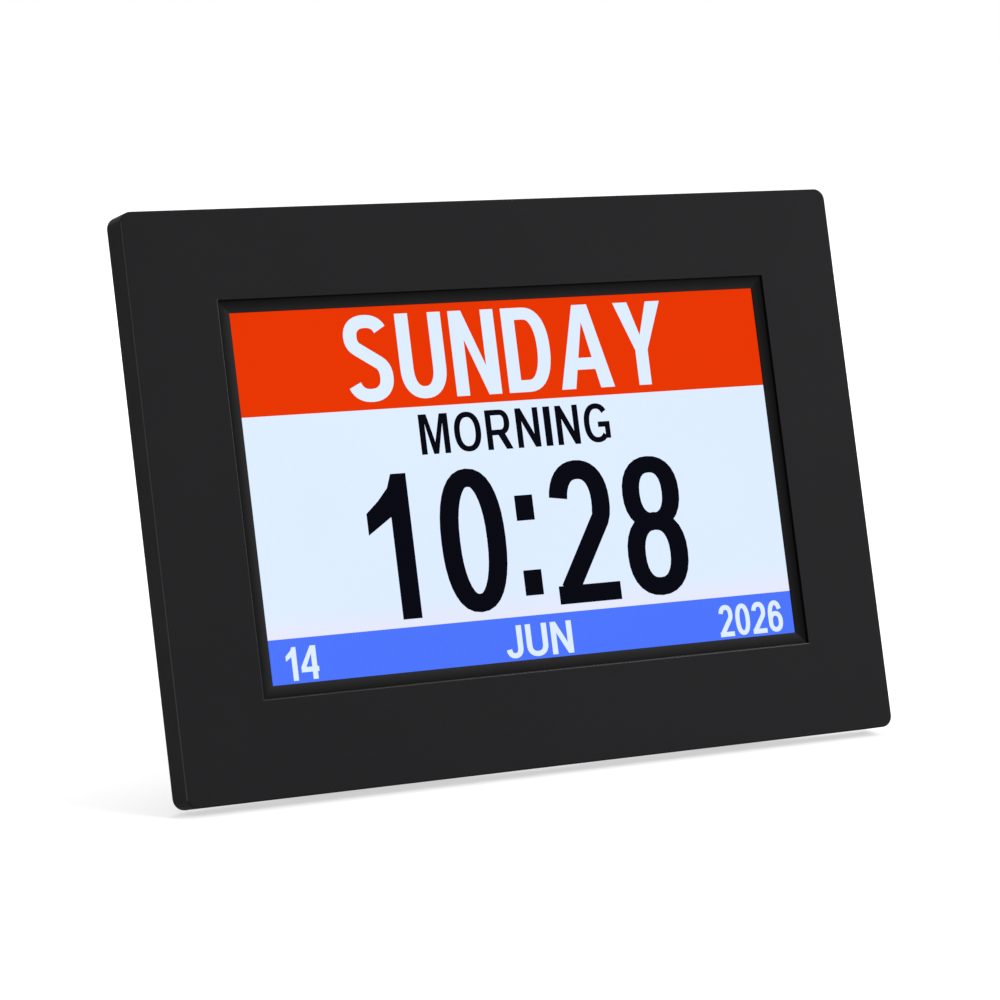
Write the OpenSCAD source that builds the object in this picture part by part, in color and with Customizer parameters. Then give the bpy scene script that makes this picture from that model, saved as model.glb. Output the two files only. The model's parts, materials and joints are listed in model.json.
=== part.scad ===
// Day clock: a lit seven-inch calendar picture in a flat plastic case with a fold-out leg.
// Sizes are in millimetres. Each piece is drawn in the case's own frame: x to the right seen
// from the front, y from the front plane towards the back, z up the face, with the origin on
// the front plane in the middle of the picture. placed() then leans the case back on a table,
// where z = 0 is the table top and the origin is the middle of the footprint.

/* [Case] */
// Width of the flat band to the left and right of the window
band_side = 23.15; // [22:0.05:32]
// Height of the flat band above the window
band_top = 22.51; // [21.5:0.01:32]
// Height of the flat band below the window
band_bottom = 23.95; // [23:0.01:34]
// Depth of the front bezel's rim
rim_d = 8.3; // [8.2:0.1:12]
// Corner radius of the case outline
corner_r = 3; // [2.2:0.1:6]
// Rounding between the front face and the sides
edge_r = 0.45; // [0.2:0.05:0.8]
// Wall thickness of the case sides
case_wall = 2; // [1.6:0.1:2.6]
// Thickness of the bezel's front plate
front_t = 2.2; // [1.8:0.1:2.6]
// Angle that the case leans back by
lean = 14.14; // [11:0.01:18]
// Height of the rim's lower edge above the table
rim_clear = 0.2; // [0.1:0.1:1]

/* [Window] */
// Width of the sloping border between the front face and the picture
border_w = 3.45; // [2.5:0.05:6]
// Depth of the step at the border's outer edge
border_step = 0.45; // [0.3:0.05:0.6]
// How much deeper the border gets on its way in to the picture
border_fall = 0.3; // [0.1:0.05:0.4]
// Rounding of the window's outer edge
window_edge_r = 0.25; // [0.1:0.05:0.3]
// Thickness of the bezel's lip beside the picture
lip_t = 0.3; // [0.2:0.05:0.4]
// Dark margin between the lip and the picture
lip_gap = 0.15; // [0.05:0.05:0.5]

/* [Screen] */
// Width of the picture
screen_w = 152.4; // [145:0.1:185]
// Height of the picture
screen_h = 91.44; // [88:0.01:112]
// How far the polarizer reaches past the picture on each side
polarizer_over = 1.2; // [0.8:0.1:1.4]
// How far the front glass reaches past the picture on each side
front_glass_over = 2.5; // [2.2:0.1:2.8]
// How far the rear glass reaches past the picture at the left, right and top
rear_glass_over = 3.5; // [3.2:0.1:3.8]
// How far the rear glass reaches past the picture at the bottom, where the flex is bonded
rear_glass_ledge = 5.3; // [5.1:0.1:5.5]
// Thickness of each glass plate
glass_t = 0.5; // [0.4:0.05:0.6]
// Thickness of each polarizer
polarizer_t = 0.2; // [0.15:0.05:0.25]
// Thickness of the stack of diffuser and prism sheets
films_t = 0.5; // [0.3:0.05:0.6]
// Thickness of the light guide
guide_t = 2; // [1.8:0.1:2.2]
// How far the light guide reaches past the picture on each side
guide_over = 2; // [1.6:0.1:2.2]
// Thickness of the reflector sheet
reflector_t = 0.2; // [0.1:0.05:0.25]
// How far the screen module's steel tray reaches past the picture on each side
module_over = 6.3; // [5.9:0.05:6.8]
// Sheet thickness of the steel tray
tray_t = 0.3; // [0.2:0.05:0.4]
// Number of light-emitting chips along the guide's lower edge
led_count = 18; // [12:1:20]
// Distance from the picture's side to the middle of the first chip
led_inset = 6.5; // [4:0.1:12]
// Thickness of the flexible leads
flex_t = 0.15; // [0.1:0.05:0.2]
// Width of the screen's flexible lead
flex_w = 30; // [20:1:36]
// Width of the backlight's flexible lead
lead_w = 5; // [4:0.5:6]

/* [Rear cover] */
// Thickness of the cover's flange, which closes the rim
flange_t = 2; // [1.6:0.1:2.1]
// Thickness of the walls of the raised middle
cover_wall = 2; // [1.6:0.1:2.4]
// Depth of the whole case, from the front plane to the back of the raised middle
case_d = 19; // [18.6:0.1:22]
// Width of the flange beside the raised middle, out to the case's side
pan_side = 16.8; // [15.4:0.1:17.2]
// Height that the raised middle stops below the top of the case
pan_drop = 13; // [11:0.1:14]
// Height that the raised middle stops above the bottom of the case
pan_lift = 7; // [6:0.1:8]
// Corner radius of the raised middle
pan_r = 8; // [5:0.5:12]
// Rounding of the raised middle's rear edge
pan_edge_r = 2.5; // [1:0.1:3.5]
// Gap between the flange and the rim's walls
flange_gap = 0.2; // [0.1:0.05:0.4]
// Distance from one keyhole to the other
keyhole_span = 90; // [80:1:96]
// Height of the keyholes above the middle of the picture
keyhole_z = 44; // [42:0.5:45]
// Radius of a keyhole's round entry
keyhole_r = 4.2; // [3.6:0.1:4.6]
// Half the width of a keyhole's slot
keyhole_slot_r = 2.1; // [1.6:0.1:2.3]
// Distance from a keyhole's entry to the end of its slot
keyhole_travel = 7; // [5:0.5:7]
// Number of vent slots on each side
vent_count = 9; // [5:1:10]
// Distance from one vent slot to the next
vent_pitch = 5; // [4:0.1:5.2]
// Width of a vent slot
vent_w = 2; // [1.2:0.1:2.4]
// Height of a vent slot
vent_h = 8; // [4:0.5:8]
// Width of the recessed field for a rating label
label_w = 38; // [20:1:40]
// Height of the recessed field for a rating label
label_h = 22; // [12:1:24]

/* [Stand] */
// Height of the hinge pin above the middle of the picture
hinge_z = 36; // [30:0.5:37]
// Angle between the folded and the open leg
open_angle = 27; // [24:0.5:28]
// Width of the leg
leg_w = 36; // [30:0.5:38]
// Width of the leg at its foot
leg_foot_w = 30; // [24:0.5:34]
// Thickness of the leg's plate with its ribs
leg_t = 3.5; // [3:0.1:3.7]
// Thickness of the leg's outer skin between the ribs
leg_skin = 1.6; // [1.2:0.1:2]
// Thickness of the ribs under the leg
leg_rib = 2; // [1.2:0.1:2.5]
// Radius of the barrel at the top of the leg
barrel_r = 2.6; // [2.3:0.1:2.8]
// Radius of the hinge pin
pin_r = 1.25; // [1:0.05:1.4]
// Radial running clearance between the pin and the leg
pin_play = 0.05; // [0.02:0.01:0.08]
// Gap between the leg and each side of its recess
leg_side_gap = 0.6; // [0.4:0.1:1]
// Depth of the recess that the leg folds into
recess_d = 5.6; // [5.4:0.1:6]
// Height of the recess above the hinge pin
recess_head = 5.2; // [4.8:0.1:6]
// Thickness of the recess's floor
recess_floor = 1.6; // [1.2:0.1:1.8]
// Radius of the rubber bar at the leg's foot
foot_bar_r = 2.4; // [2.2:0.1:2.8]
// Width of each rubber foot under the cover
foot_w = 18; // [12:1:24]
// Depth of each rubber foot under the cover
foot_d = 6; // [4:0.5:6.5]
// Distance from the middle to each rubber foot
foot_x = 58; // [40:1:66]

/* [Keys] */
// Distance from the inside of the raised middle's left wall to the column of keys
key_inset = 12; // [8:0.5:13]
// Height of the top key above the middle of the picture
key_top = 32; // [24:0.5:34]
// Distance from one key to the next
key_pitch = 13; // [11.5:0.1:13.4]
// Radius of a key cap
key_r = 3.9; // [3:0.1:4.2]
// How far a key cap stands proud of the cover
key_proud = 1.2; // [0.9:0.1:2]
// How far a key travels
key_travel = 0.6; // [0.3:0.05:0.8]
// Radial gap between a key cap and its hole
key_gap = 0.25; // [0.2:0.05:0.4]
// Width of the key board
key_board_w = 12; // [11.4:0.1:13]
// Thickness of the key board
key_board_t = 1.2; // [0.8:0.1:1.6]
// Distance from the key board to the inside of the cover
key_board_off = 6; // [5.8:0.1:6.2]
// Height of a switch's body
switch_h = 3.4; // [3:0.1:3.5]

/* [Main board] */
// Gap between the main board and the inside of the raised middle's right wall
board_side = 4; // [2:0.5:5]
// Height of the main board's lower edge above the inside of the raised middle's lower wall
board_lift = 14.12; // [13:0.01:16]
// Width of the main board
board_w = 56; // [54:0.5:58]
// Height of the main board
board_h = 88; // [86:0.5:89]
// Thickness of the main board
board_t = 1.6; // [1:0.1:1.7]
// Distance from the main board to the inside of the cover
board_off = 6.4; // [6.3:0.1:6.6]
// Distance from the main board's edges to its screws
board_inset = 4; // [3.6:0.1:4.5]
// Height of the power socket above the middle of the picture
jack_z = 22; // [20:0.5:23]
// Radius of the power socket's bore
jack_bore_r = 1.9; // [1.6:0.1:2.1]
// Radius of the power socket's nose
jack_nose_r = 3; // [2.7:0.1:3]
// Radius of the power socket's pin
jack_pin_r = 0.65; // [0.4:0.05:0.8]
// Radius of the coin cell
cell_r = 10; // [8:0.1:10.2]
// Thickness of the coin cell
cell_t = 3.2; // [2:0.1:3.6]

/* [Speaker] */
// Distance from the column of keys to the speaker
speaker_gap = 28; // [25:0.5:29]
// Height of the speaker relative to the middle of the picture
speaker_z = -32; // [-34:0.5:-31]
// Radius of the speaker
speaker_r = 14; // [12.5:0.1:14.4]
// Depth of the speaker
speaker_d = 8.4; // [7.6:0.1:9]
// Radius of the holes in the speaker's grille
grille_r = 1.1; // [0.8:0.1:1.4]
// Distance between the rings of grille holes
grille_pitch = 4; // [3.4:0.1:4.4]

/* [Screws] */
// Radius of a cover screw's head
cover_head_r = 2.6; // [2.2:0.1:2.8]
// Height of a cover screw's head
cover_head_h = 1.8; // [1.2:0.1:1.9]
// Radius of a cover screw's shank
cover_shank_r = 1.25; // [1:0.05:1.4]
// Radius of a small screw's head
small_head_r = 1.9; // [1.6:0.1:2.2]
// Height of a small screw's head
small_head_h = 1.3; // [0.8:0.1:1.4]
// Radius of a small screw's shank
small_shank_r = 1; // [0.8:0.05:1.1]
// Radial gap between a screw and its hole
screw_gap = 0.05; // [0.02:0.01:0.1]
// Thickness of a screen clip
clip_t = 0.6; // [0.4:0.1:0.7]
// Width of a screen clip
clip_w = 10; // [8:0.5:14]

/* [Hidden] */
$fn = 48;

// Small distance by which a cut runs past the face that it opens
past = 1;
// Gap left between flat pieces that are only set side by side
seat = 0.1;

// The case's outline, counted from the middle of the picture
window_w = screen_w + 2 * border_w;
window_h = screen_h + 2 * border_w;
case_w = window_w + 2 * band_side;
case_bottom = -window_h / 2 - band_bottom;
case_top = window_h / 2 + band_top;
case_h = case_top - case_bottom;
case_mid = (case_top + case_bottom) / 2;
module_w = screen_w + 2 * module_over;
module_h = screen_h + 2 * module_over;

// Depths of the screen's layers, counted back from the front plane
lip_back = border_step + border_fall + lip_t;
polarizer_y = lip_back + seat / 2;
front_glass_y = polarizer_y + polarizer_t;
rear_glass_y = front_glass_y + glass_t;
rear_polarizer_y = rear_glass_y + glass_t;
films_y = rear_polarizer_y + polarizer_t;
guide_y = films_y + films_t;
reflector_y = guide_y + guide_t;
tray_y = reflector_y + reflector_t;
tray_back = tray_y + tray_t;

// The light guide's lower edge, the chips below it and the strip that carries them
guide_bottom = -screen_h / 2 - guide_over;
led_w = 3.5;
led_pitch = (screen_w - 2 * led_inset) / (led_count - 1);
led_h = 1.2;
led_top = guide_bottom - 2 * seat;
led_board_h = 1;
led_board_bottom = led_top - led_h - led_board_h;
lamp_bottom = led_board_bottom - seat;

// The rear cover
flange_y = rim_d - flange_t;
inside_y = case_d - cover_wall;
pan_bottom = case_bottom + pan_lift;
pan_top = case_top - pan_drop;
pan_w = case_w - 2 * pan_side;
pan_h = pan_top - pan_bottom;
wall_x = pan_w / 2 - cover_wall;
pan_mid = (pan_top + pan_bottom) / 2;
flange_r = max(0.2, corner_r - case_wall - flange_gap);

// The cover's screws: two columns, between the raised middle and the rim's walls
screw_x = (pan_w / 2 + case_w / 2 - case_wall) / 2;
screw_inset = 10;
screw_points = [
  for (sx = [-1, 1])
    for (z = [case_bottom + screw_inset, case_mid, case_top - screw_inset])
      [sx * screw_x, z]
];
boss_r = 3.4;
boss_back = flange_y - 0.8;
head_seat_y = boss_back + 0.9;

// The clips that hold the screen
clip_z = 34;
clip_boss_y = tray_back - 1.5;
clip_inner_x = module_w / 2 - 5;
clip_riser_x = module_w / 2 + 0.5;
clip_screw_x = clip_riser_x + 5.5;
clip_outer_x = clip_screw_x + 3.5;
clip_points = [
  for (sx = [-1, 1])
    for (sz = [-1, 1])
      [sx * clip_screw_x, sz * clip_z]
];

// The leg and its hinge
hinge_y = case_d - barrel_r - seat;
recess_y = case_d - recess_d;
recess_top = hinge_z + recess_head;
recess_w = leg_w + 2 * leg_side_gap;
recess_wall = 2.2;
pin_length = recess_w + 2 * recess_wall - 0.4;
leg_out = barrel_r - 0.3;
leg_in = leg_out - leg_t;
leg_mid = (leg_in + leg_out) / 2;
stop_gap = 0.15;
heel_h = (hinge_y - recess_y - stop_gap + leg_in * cos(open_angle)) / sin(open_angle);
place_z = rim_clear + rim_d * sin(lean) - case_bottom * cos(lean);
pin_height = place_z + hinge_z * cos(lean) - hinge_y * sin(lean);
leg_angle = open_angle - lean;
leg_reach = (pin_height + leg_mid * sin(leg_angle) - foot_bar_r) / cos(leg_angle);
leg_end = leg_reach - 0.5;

// The footprint, whose middle is the origin
front_y = edge_r * cos(lean) + (case_bottom + edge_r) * sin(lean) - edge_r;
pin_back = hinge_y * cos(lean) + hinge_z * sin(lean);
rear_y = pin_back + leg_mid * cos(leg_angle) + leg_reach * sin(leg_angle) + foot_bar_r;
place_y = -(front_y + rear_y) / 2;

// The rubber feet stand on the table plane, which slopes in the case's own frame
foot_front_y = rim_d + 1.5;
foot_back_y = foot_front_y + foot_d;
function table_z(y) = (y * sin(lean) - place_z) / cos(lean);
peg_r = 1.6;
peg_h = cover_wall + 1.6;

// The keys: menu, up, down, left, right and power, from the top down
key_count = 6;
key_x = key_inset - wall_x;
speaker_x = key_x + speaker_gap;
key_points = [for (i = [0:key_count - 1]) [key_x, key_top - i * key_pitch]];
key_board_y = inside_y - key_board_off - key_board_t;
key_board_back = key_board_y + key_board_t;
key_board_reach = 11;
key_board_top = key_top + key_board_reach;
key_board_bottom = key_points[key_count - 1].y - key_board_reach;
key_post_inset = 3;
switch_w = 6;
plunger_r = 1.7;
plunger_top = key_board_back + switch_h + 0.9;
plunger_sink = key_travel + 0.3;
key_flange_r = key_r + 1.1;
key_flange_t = 0.8;
key_flange_y = inside_y - 1.5 * seat - key_flange_t;

// The main board
board_y = inside_y - board_off - board_t;
board_back = board_y + board_t;
board_x = wall_x - board_side - board_w / 2;
board_z = pan_bottom + cover_wall + board_lift + board_h / 2;
board_left = board_x - board_w / 2;
board_points = [
  for (sx = [-1, 1])
    for (sz = [-1, 1])
      [board_x + sx * (board_w / 2 - board_inset), board_z + sz * (board_h / 2 - board_inset)]
];
post_r = 3;
socket_t = 1.6;
socket_h = 5;
flex_x = board_x - board_w / 2 + 22;
flex_socket_z = board_z - board_h / 2 + 12;
flex_ramp = 4;
lead_x = board_x + board_w / 2 - 8;
key_ribbon_z = board_z;
ribbon_w = 10;
ribbon_t = 0.5;
speaker_lead_z = speaker_z + 8;
speaker_lead_x = speaker_x + 6;
lead_r = 0.5;
lead_gap = 1.6;
lead_bend = 1.5;
lead_y = board_y - 1.2;

// Parts on the main board: places counted from the board's middle, then sizes
processor_at = [-8, 14];
processor_w = 14;
processor_t = 1.2;
mark_inset = 2;
memory_at = [-8, -1];
memory_w = 8;
memory_h = 5.2;
memory_t = 1.7;
regulator_at = [2, 36];
regulator_w = 6.5;
regulator_h = 3.5;
regulator_t = 1.6;
tab_w = 3;
tab_t = 0.5;
crystal_at = [6, 14];
crystal_w = 4.6;
crystal_h = 11;
crystal_t = 3.4;
capacitor_at = [17, 2];
capacitor_pitch = 8;
capacitor_w = 6.4;
capacitor_r = 3.1;
capacitor_base = 1;
capacitor_t = 5.4;
coil_at = [7, 25];
coil_w = 7.4;
coil_t = 3.2;
coil_r = 2.4;
part_w = 0.9;
part_l = 1.7;
part_t = 0.6;
part_pitch = 2.6;

// The power socket, whose nose passes through the raised middle's right wall
jack_l = 12;
jack_h = 6;
jack_w = 7;
jack_y = board_back + jack_h / 2;
jack_deep = 8;

// The speaker
speaker_front = inside_y - speaker_d;
magnet_r = speaker_r * 0.46;
magnet_t = 3.2;
basket_t = 0.8;
cone_rim_y = inside_y - 1;

// The coin cell
cell_x = board_x - 12;
cell_z = board_z - 26;
cell_wall = 1.4;
cell_base = 0.9;

// ---------------------------------------------------------------- drawing aids

// Leans a piece back onto the table
module placed() {
  translate([0, place_y, place_z])
    rotate([-lean, 0, 0])
      children();
}

// A flat outline drawn in (x, z) and made into a slab from depth y0, t thick
module slab(y0, t) {
  translate([0, y0 + t, 0])
    rotate([90, 0, 0])
      linear_extrude(t)
        children();
}

// An outline drawn in (y, z) and stretched along x from x0
module along_x(x0, length) {
  translate([x0, 0, 0])
    rotate([90, 0, 90])
      linear_extrude(length)
        children();
}

// An outline drawn in (x, y) and stretched along z from z0
module along_z(z0, length) {
  translate([0, 0, z0])
    linear_extrude(length)
      children();
}

// A rod along y between two depths
module rod(p, r, y0, y1) {
  translate([p.x, y0, p.y])
    rotate([-90, 0, 0])
      cylinder(h = y1 - y0, r = r);
}

// A rod along x
module rod_x(y, z, r, x0, x1) {
  translate([x0, y, z])
    rotate([0, 90, 0])
      cylinder(h = x1 - x0, r = r);
}

// A box between two corners
module box(low, high) {
  translate(low)
    cube(high - low);
}

// A rectangle with round corners, in the plane
module round_rect(w, h, r) {
  square([w - 2 * r, h], center = true);
  square([w, h - 2 * r], center = true);
  for (sx = [-1, 1])
    for (sy = [-1, 1])
      translate([sx * (w / 2 - r), sy * (h / 2 - r)])
        circle(r);
}

// A rectangle with its middle at a height, in (x, z)
module field(w, bottom, top) {
  translate([-w / 2, bottom])
    square([w, top - bottom]);
}

// The edge of a block: r from the corner's centre to the side, rounded at depth 0
module edge_outline(r, depth, rounding) {
  translate([0, rounding])
    square([r, depth - rounding]);
  square([r - rounding, depth]);
  translate([r - rounding, rounding])
    circle(rounding);
}

// A block with round corners and one rounded rim, its rounded face at depth 0
module rounded_block(w, h, depth, r, rounding) {
  rotate([-90, 0, 0])
    union() {
      for (turn = [0, 90, 180, 270]) {
        reach = turn % 180 == 0 ? [w / 2 - r, h / 2 - r] : [h / 2 - r, w / 2 - r];
        rotate([0, 0, turn]) {
          translate([reach.x, reach.y, 0])
            rotate_extrude(angle = 90)
              edge_outline(r, depth, rounding);
          translate([reach.x, 0, 0])
            rotate([90, 0, 0])
              linear_extrude(2 * reach.y, center = true)
                edge_outline(r, depth, rounding);
        }
      }
      translate([r - w / 2, r - h / 2, 0])
        cube([w - 2 * r, h - 2 * r, depth]);
    }
}

// A screw with its head's seat at depth 0: the shank runs forward, the head backward
module screw(head_r, head_h, shank_r, length) {
  slot_w = head_r * 0.26;
  slot_l = head_r * 1.25;
  difference() {
    union() {
      rod([0, 0], shank_r, -length, 0.1);
      rod([0, 0], head_r, 0, head_h * 0.6);
      translate([0, head_h * 0.6, 0])
        rotate([-90, 0, 0])
          cylinder(h = head_h * 0.4, r1 = head_r, r2 = head_r * 0.72);
    }
    for (turn = [0, 90])
      rotate([0, turn, 0])
        translate([-slot_l / 2, head_h * 0.45, -slot_w / 2])
          cube([slot_l, head_h, slot_w]);
  }
}

// Points of a strip of thickness t that follows a path through given points
function unit(v) = v / norm(v);
function normal(v) = [-v.y, v.x];
function step_in(path, i) = unit(i > 0 ? path[i] - path[i - 1] : path[1] - path[0]);
function step_out(path, i) = i < len(path) - 1 ? unit(path[i + 1] - path[i]) : step_in(path, i);
function mitre(path, i) =
  (normal(step_in(path, i)) + normal(step_out(path, i))) / (1 + step_in(path, i) * step_out(path, i));
function side(path, t) = [for (i = [0:len(path) - 1]) path[i] + mitre(path, i) * t];
function reversed(list) = [for (i = [len(list) - 1:-1:0]) list[i]];

module strip(path, t) {
  polygon(concat(side(path, t / 2), reversed(side(path, -t / 2))));
}

// ---------------------------------------------------------------- case

// Half of the window's cut across one side, from the front plane back through the lip
module window_outline(picture) {
  outer = picture / 2 + border_w;
  wall = outer - window_edge_r;
  inner = picture / 2 + lip_gap;
  ramp_y = border_step + border_fall;
  difference() {
    translate([-outer, -past])
      square([2 * outer, past + window_edge_r]);
    for (sx = [-1, 1])
      translate([sx * outer, window_edge_r])
        circle(window_edge_r);
  }
  translate([-wall, 0])
    square([2 * wall, border_step]);
  polygon([[-wall, border_step], [wall, border_step], [inner, ramp_y], [-inner, ramp_y]]);
  translate([-inner, 0])
    square([2 * inner, lip_back + past]);
}

module window_cut() {
  reach = case_w;
  intersection() {
    along_z(-reach / 2, reach)
      window_outline(screen_w);
    along_x(-reach / 2, reach)
      mirror([1, -1])
        window_outline(screen_h);
  }
}

module front_bezel() {
  pocket_gap = 0.3;
  pocket_w = module_w + 2 * pocket_gap;
  pocket_h = module_h + 2 * pocket_gap;
  inner_r = max(0.4, corner_r - case_wall);
  rib_l = 22;
  rib_t = 1.5;
  rib_back = tray_back - 0.6;
  color("#262628")
    placed()
      difference() {
        union() {
          difference() {
            translate([0, 0, case_mid])
              rounded_block(case_w, case_h, rim_d, corner_r, edge_r);
            slab(front_t, rim_d)
              translate([0, case_mid])
                round_rect(case_w - 2 * case_wall, case_h - 2 * case_wall, inner_r);
            slab(lip_back, front_t)
              field(pocket_w, -pocket_h / 2, pocket_h / 2);
            // room for the flexible lead, which bends round the module's lower edge
            box([flex_x - flex_w / 2 - 1, lip_back, -module_h / 2 - 2.6],
                [flex_x + flex_w / 2 + 1, front_t + past, 0]);
            window_cut();
          }
          for (p = screw_points)
            rod(p, boss_r, front_t - 0.2, boss_back);
          for (p = clip_points)
            rod(p, boss_r - 0.4, front_t - 0.2, clip_boss_y);
          // ribs that keep the module in place
          for (sx = [-1, 1])
            translate([sx * (pocket_w / 2 + rib_t / 2), 0, 0])
              slab(front_t - 0.2, rib_back - front_t + 0.2)
                field(rib_t, -rib_l / 2, rib_l / 2);
          for (sx = [-1, 1])
            translate([sx * module_w / 3, 0, pocket_h / 2 + rib_t / 2])
              slab(front_t - 0.2, rib_back - front_t + 0.2)
                field(rib_l, -rib_t / 2, rib_t / 2);
          for (x = [-module_w / 3, flex_x - flex_w / 2 - rib_l / 2 - 3])
            translate([x, 0, -pocket_h / 2 - rib_t / 2])
              slab(front_t - 0.2, rib_back - front_t + 0.2)
                field(rib_l, -rib_t / 2, rib_t / 2);
        }
        for (p = screw_points)
          rod(p, cover_shank_r + screw_gap, front_t - 0.8, rim_d);
        for (p = clip_points)
          rod(p, small_shank_r + screw_gap, front_t - 0.9, rim_d);
      }
}

module keyhole_cut(x) {
  rod([x, keyhole_z], keyhole_r, inside_y - past, case_d + past);
  rod([x, keyhole_z + keyhole_travel], keyhole_slot_r, inside_y - past, case_d + past);
  box([x - keyhole_slot_r, inside_y - past, keyhole_z],
      [x + keyhole_slot_r, case_d + past, keyhole_z + keyhole_travel]);
}

module vent_cuts() {
  vent_x = recess_w / 2 + recess_wall + 6;
  vent_bottom = pan_bottom + 7;
  for (sx = [-1, 1])
    for (i = [0:vent_count - 1])
      translate([sx * (vent_x + i * vent_pitch), 0, vent_bottom])
        box([-vent_w / 2, inside_y - past, 0], [vent_w / 2, case_d + past, vent_h]);
}

module grille_cuts() {
  rod([speaker_x, speaker_z], grille_r, inside_y - past, case_d + past);
  for (ring = [1:2])
    for (i = [0:6 * ring - 1])
      rod([speaker_x + ring * grille_pitch * cos(i * 60 / ring),
           speaker_z + ring * grille_pitch * sin(i * 60 / ring)],
          grille_r, inside_y - past, case_d + past);
}

// The block that surrounds the leg's recess inside the raised middle
module recess_block() {
  half = recess_w / 2 + recess_wall;
  box([-half, recess_y - recess_floor, pan_bottom - past],
      [half, case_d + past, recess_top + recess_wall]);
}

module cover_posts() {
  for (p = board_points)
    rod(p, post_r, board_back, inside_y + 0.2);
  for (z = [key_board_bottom + key_post_inset, key_board_top - key_post_inset])
    rod([key_x, z], post_r - 0.5, key_board_back, inside_y + 0.2);
  for (p = screw_points)
    rod(p, boss_r + 0.8, boss_back, flange_y + 0.2);
  // collar round the speaker
  difference() {
    rod([speaker_x, speaker_z], speaker_r + 1.6, inside_y - 3, inside_y + 0.2);
    rod([speaker_x, speaker_z], speaker_r + seat, inside_y - 4, inside_y);
  }
}

module rear_cover() {
  flange_w = case_w - 2 * (case_wall + flange_gap);
  flange_h = case_h - 2 * (case_wall + flange_gap);
  label_x = board_x + 2;
  label_z = board_z - 6;
  color("#222224")
    placed()
      difference() {
        union() {
          difference() {
            union() {
              slab(flange_y, flange_t)
                translate([0, case_mid])
                  round_rect(flange_w, flange_h, flange_r);
              translate([0, case_d, pan_mid])
                mirror([0, 1, 0])
                  rounded_block(pan_w, pan_h, case_d - flange_y, pan_r, pan_edge_r);
            }
            difference() {
              slab(flange_y - past, inside_y - flange_y + past)
                translate([0, pan_mid])
                  round_rect(pan_w - 2 * cover_wall, pan_h - 2 * cover_wall, pan_r - cover_wall);
              recess_block();
            }
          }
          cover_posts();
        }
        // the recess for the leg, open at its lower end
        box([-recess_w / 2, recess_y, pan_bottom - 2 * past],
            [recess_w / 2, case_d + past, recess_top]);
        rod_x(hinge_y, hinge_z, pin_r + screw_gap / 5, -pin_length / 2, pin_length / 2);
        for (p = screw_points) {
          rod(p, cover_head_r + 0.3, head_seat_y, rim_d + past);
          rod(p, cover_shank_r + 0.2, boss_back - past, rim_d);
        }
        for (p = board_points)
          rod(p, small_shank_r + screw_gap, board_back - past, inside_y - 1);
        for (z = [key_board_bottom + key_post_inset, key_board_top - key_post_inset])
          rod([key_x, z], small_shank_r + screw_gap, key_board_back - past, inside_y - 1);
        for (p = key_points)
          rod(p, key_r + key_gap, inside_y - past, case_d + past);
        for (sx = [-1, 1])
          keyhole_cut(sx * keyhole_span / 2);
        vent_cuts();
        grille_cuts();
        // the power socket's hole
        rod_x(jack_y, jack_z, jack_nose_r + 0.2, wall_x - past, pan_w / 2 + past);
        // holes for the pegs of the rubber feet
        for (sx = [-1, 1])
          translate([sx * foot_x, (foot_front_y + foot_back_y) / 2, pan_bottom - past])
            cylinder(h = cover_wall + 2 * past, r = peg_r + screw_gap);
        // the shallow field for a label
        slab(case_d - 0.3, past)
          translate([label_x, label_z])
            field(label_w, -label_h / 2, label_h / 2);
      }
}

module cover_screws() {
  length = head_seat_y - front_t + 0.4;
  color("#3a3a3c")
    placed()
      for (p = screw_points)
        translate([p.x, head_seat_y, p.y])
          screw(cover_head_r, cover_head_h, cover_shank_r, length);
}

module rubber_feet() {
  color("#151515")
    placed()
      for (sx = [-1, 1])
        translate([sx * foot_x, 0, 0]) {
          along_x(-foot_w / 2, foot_w)
            polygon([
              [foot_front_y, pan_bottom], [foot_back_y, pan_bottom],
              [foot_back_y, table_z(foot_back_y)], [foot_front_y, table_z(foot_front_y)]
            ]);
          translate([0, (foot_front_y + foot_back_y) / 2, pan_bottom - 0.2])
            cylinder(h = peg_h + 0.2, r = peg_r);
        }
}

// ---------------------------------------------------------------- screen

module window_gasket() {
  polarizer_w = screen_w + 2 * polarizer_over;
  polarizer_h = screen_h + 2 * polarizer_over;
  color("#101010")
    placed()
      slab(lip_back, front_glass_y - lip_back)
        difference() {
          square([screen_w + 2 * front_glass_over, screen_h + 2 * front_glass_over], center = true);
          square([polarizer_w + 4 * seat, polarizer_h + 4 * seat], center = true);
        }
}

module front_polarizer() {
  color("#1b1e24")
    placed()
      slab(polarizer_y, polarizer_t)
        square([screen_w + 2 * polarizer_over, screen_h + 2 * polarizer_over], center = true);
}

module front_glass() {
  color("#9fb8c4")
    placed()
      slab(front_glass_y, glass_t)
        square([screen_w + 2 * front_glass_over, screen_h + 2 * front_glass_over], center = true);
}

module rear_glass() {
  color("#93aebb")
    placed()
      slab(rear_glass_y, glass_t)
        field(screen_w + 2 * rear_glass_over, -screen_h / 2 - rear_glass_ledge,
              screen_h / 2 + rear_glass_over);
}

module rear_polarizer() {
  color("#2a2d33")
    placed()
      slab(rear_polarizer_y, polarizer_t)
        square([screen_w + 2 * polarizer_over, screen_h + 2 * polarizer_over], center = true);
}

module film_stack() {
  color("#eef1f2")
    placed()
      slab(films_y, films_t)
        square([screen_w + 2 * guide_over - 0.4, screen_h + 2 * guide_over - 0.4], center = true);
}

module light_guide() {
  color("#dfe9ea")
    placed()
      slab(guide_y, guide_t)
        square([screen_w + 2 * guide_over, screen_h + 2 * guide_over], center = true);
}

module reflector_sheet() {
  color("#f7f7f5")
    placed()
      slab(reflector_y, reflector_t)
        square([screen_w + 2 * guide_over, screen_h + 2 * guide_over], center = true);
}

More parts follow.
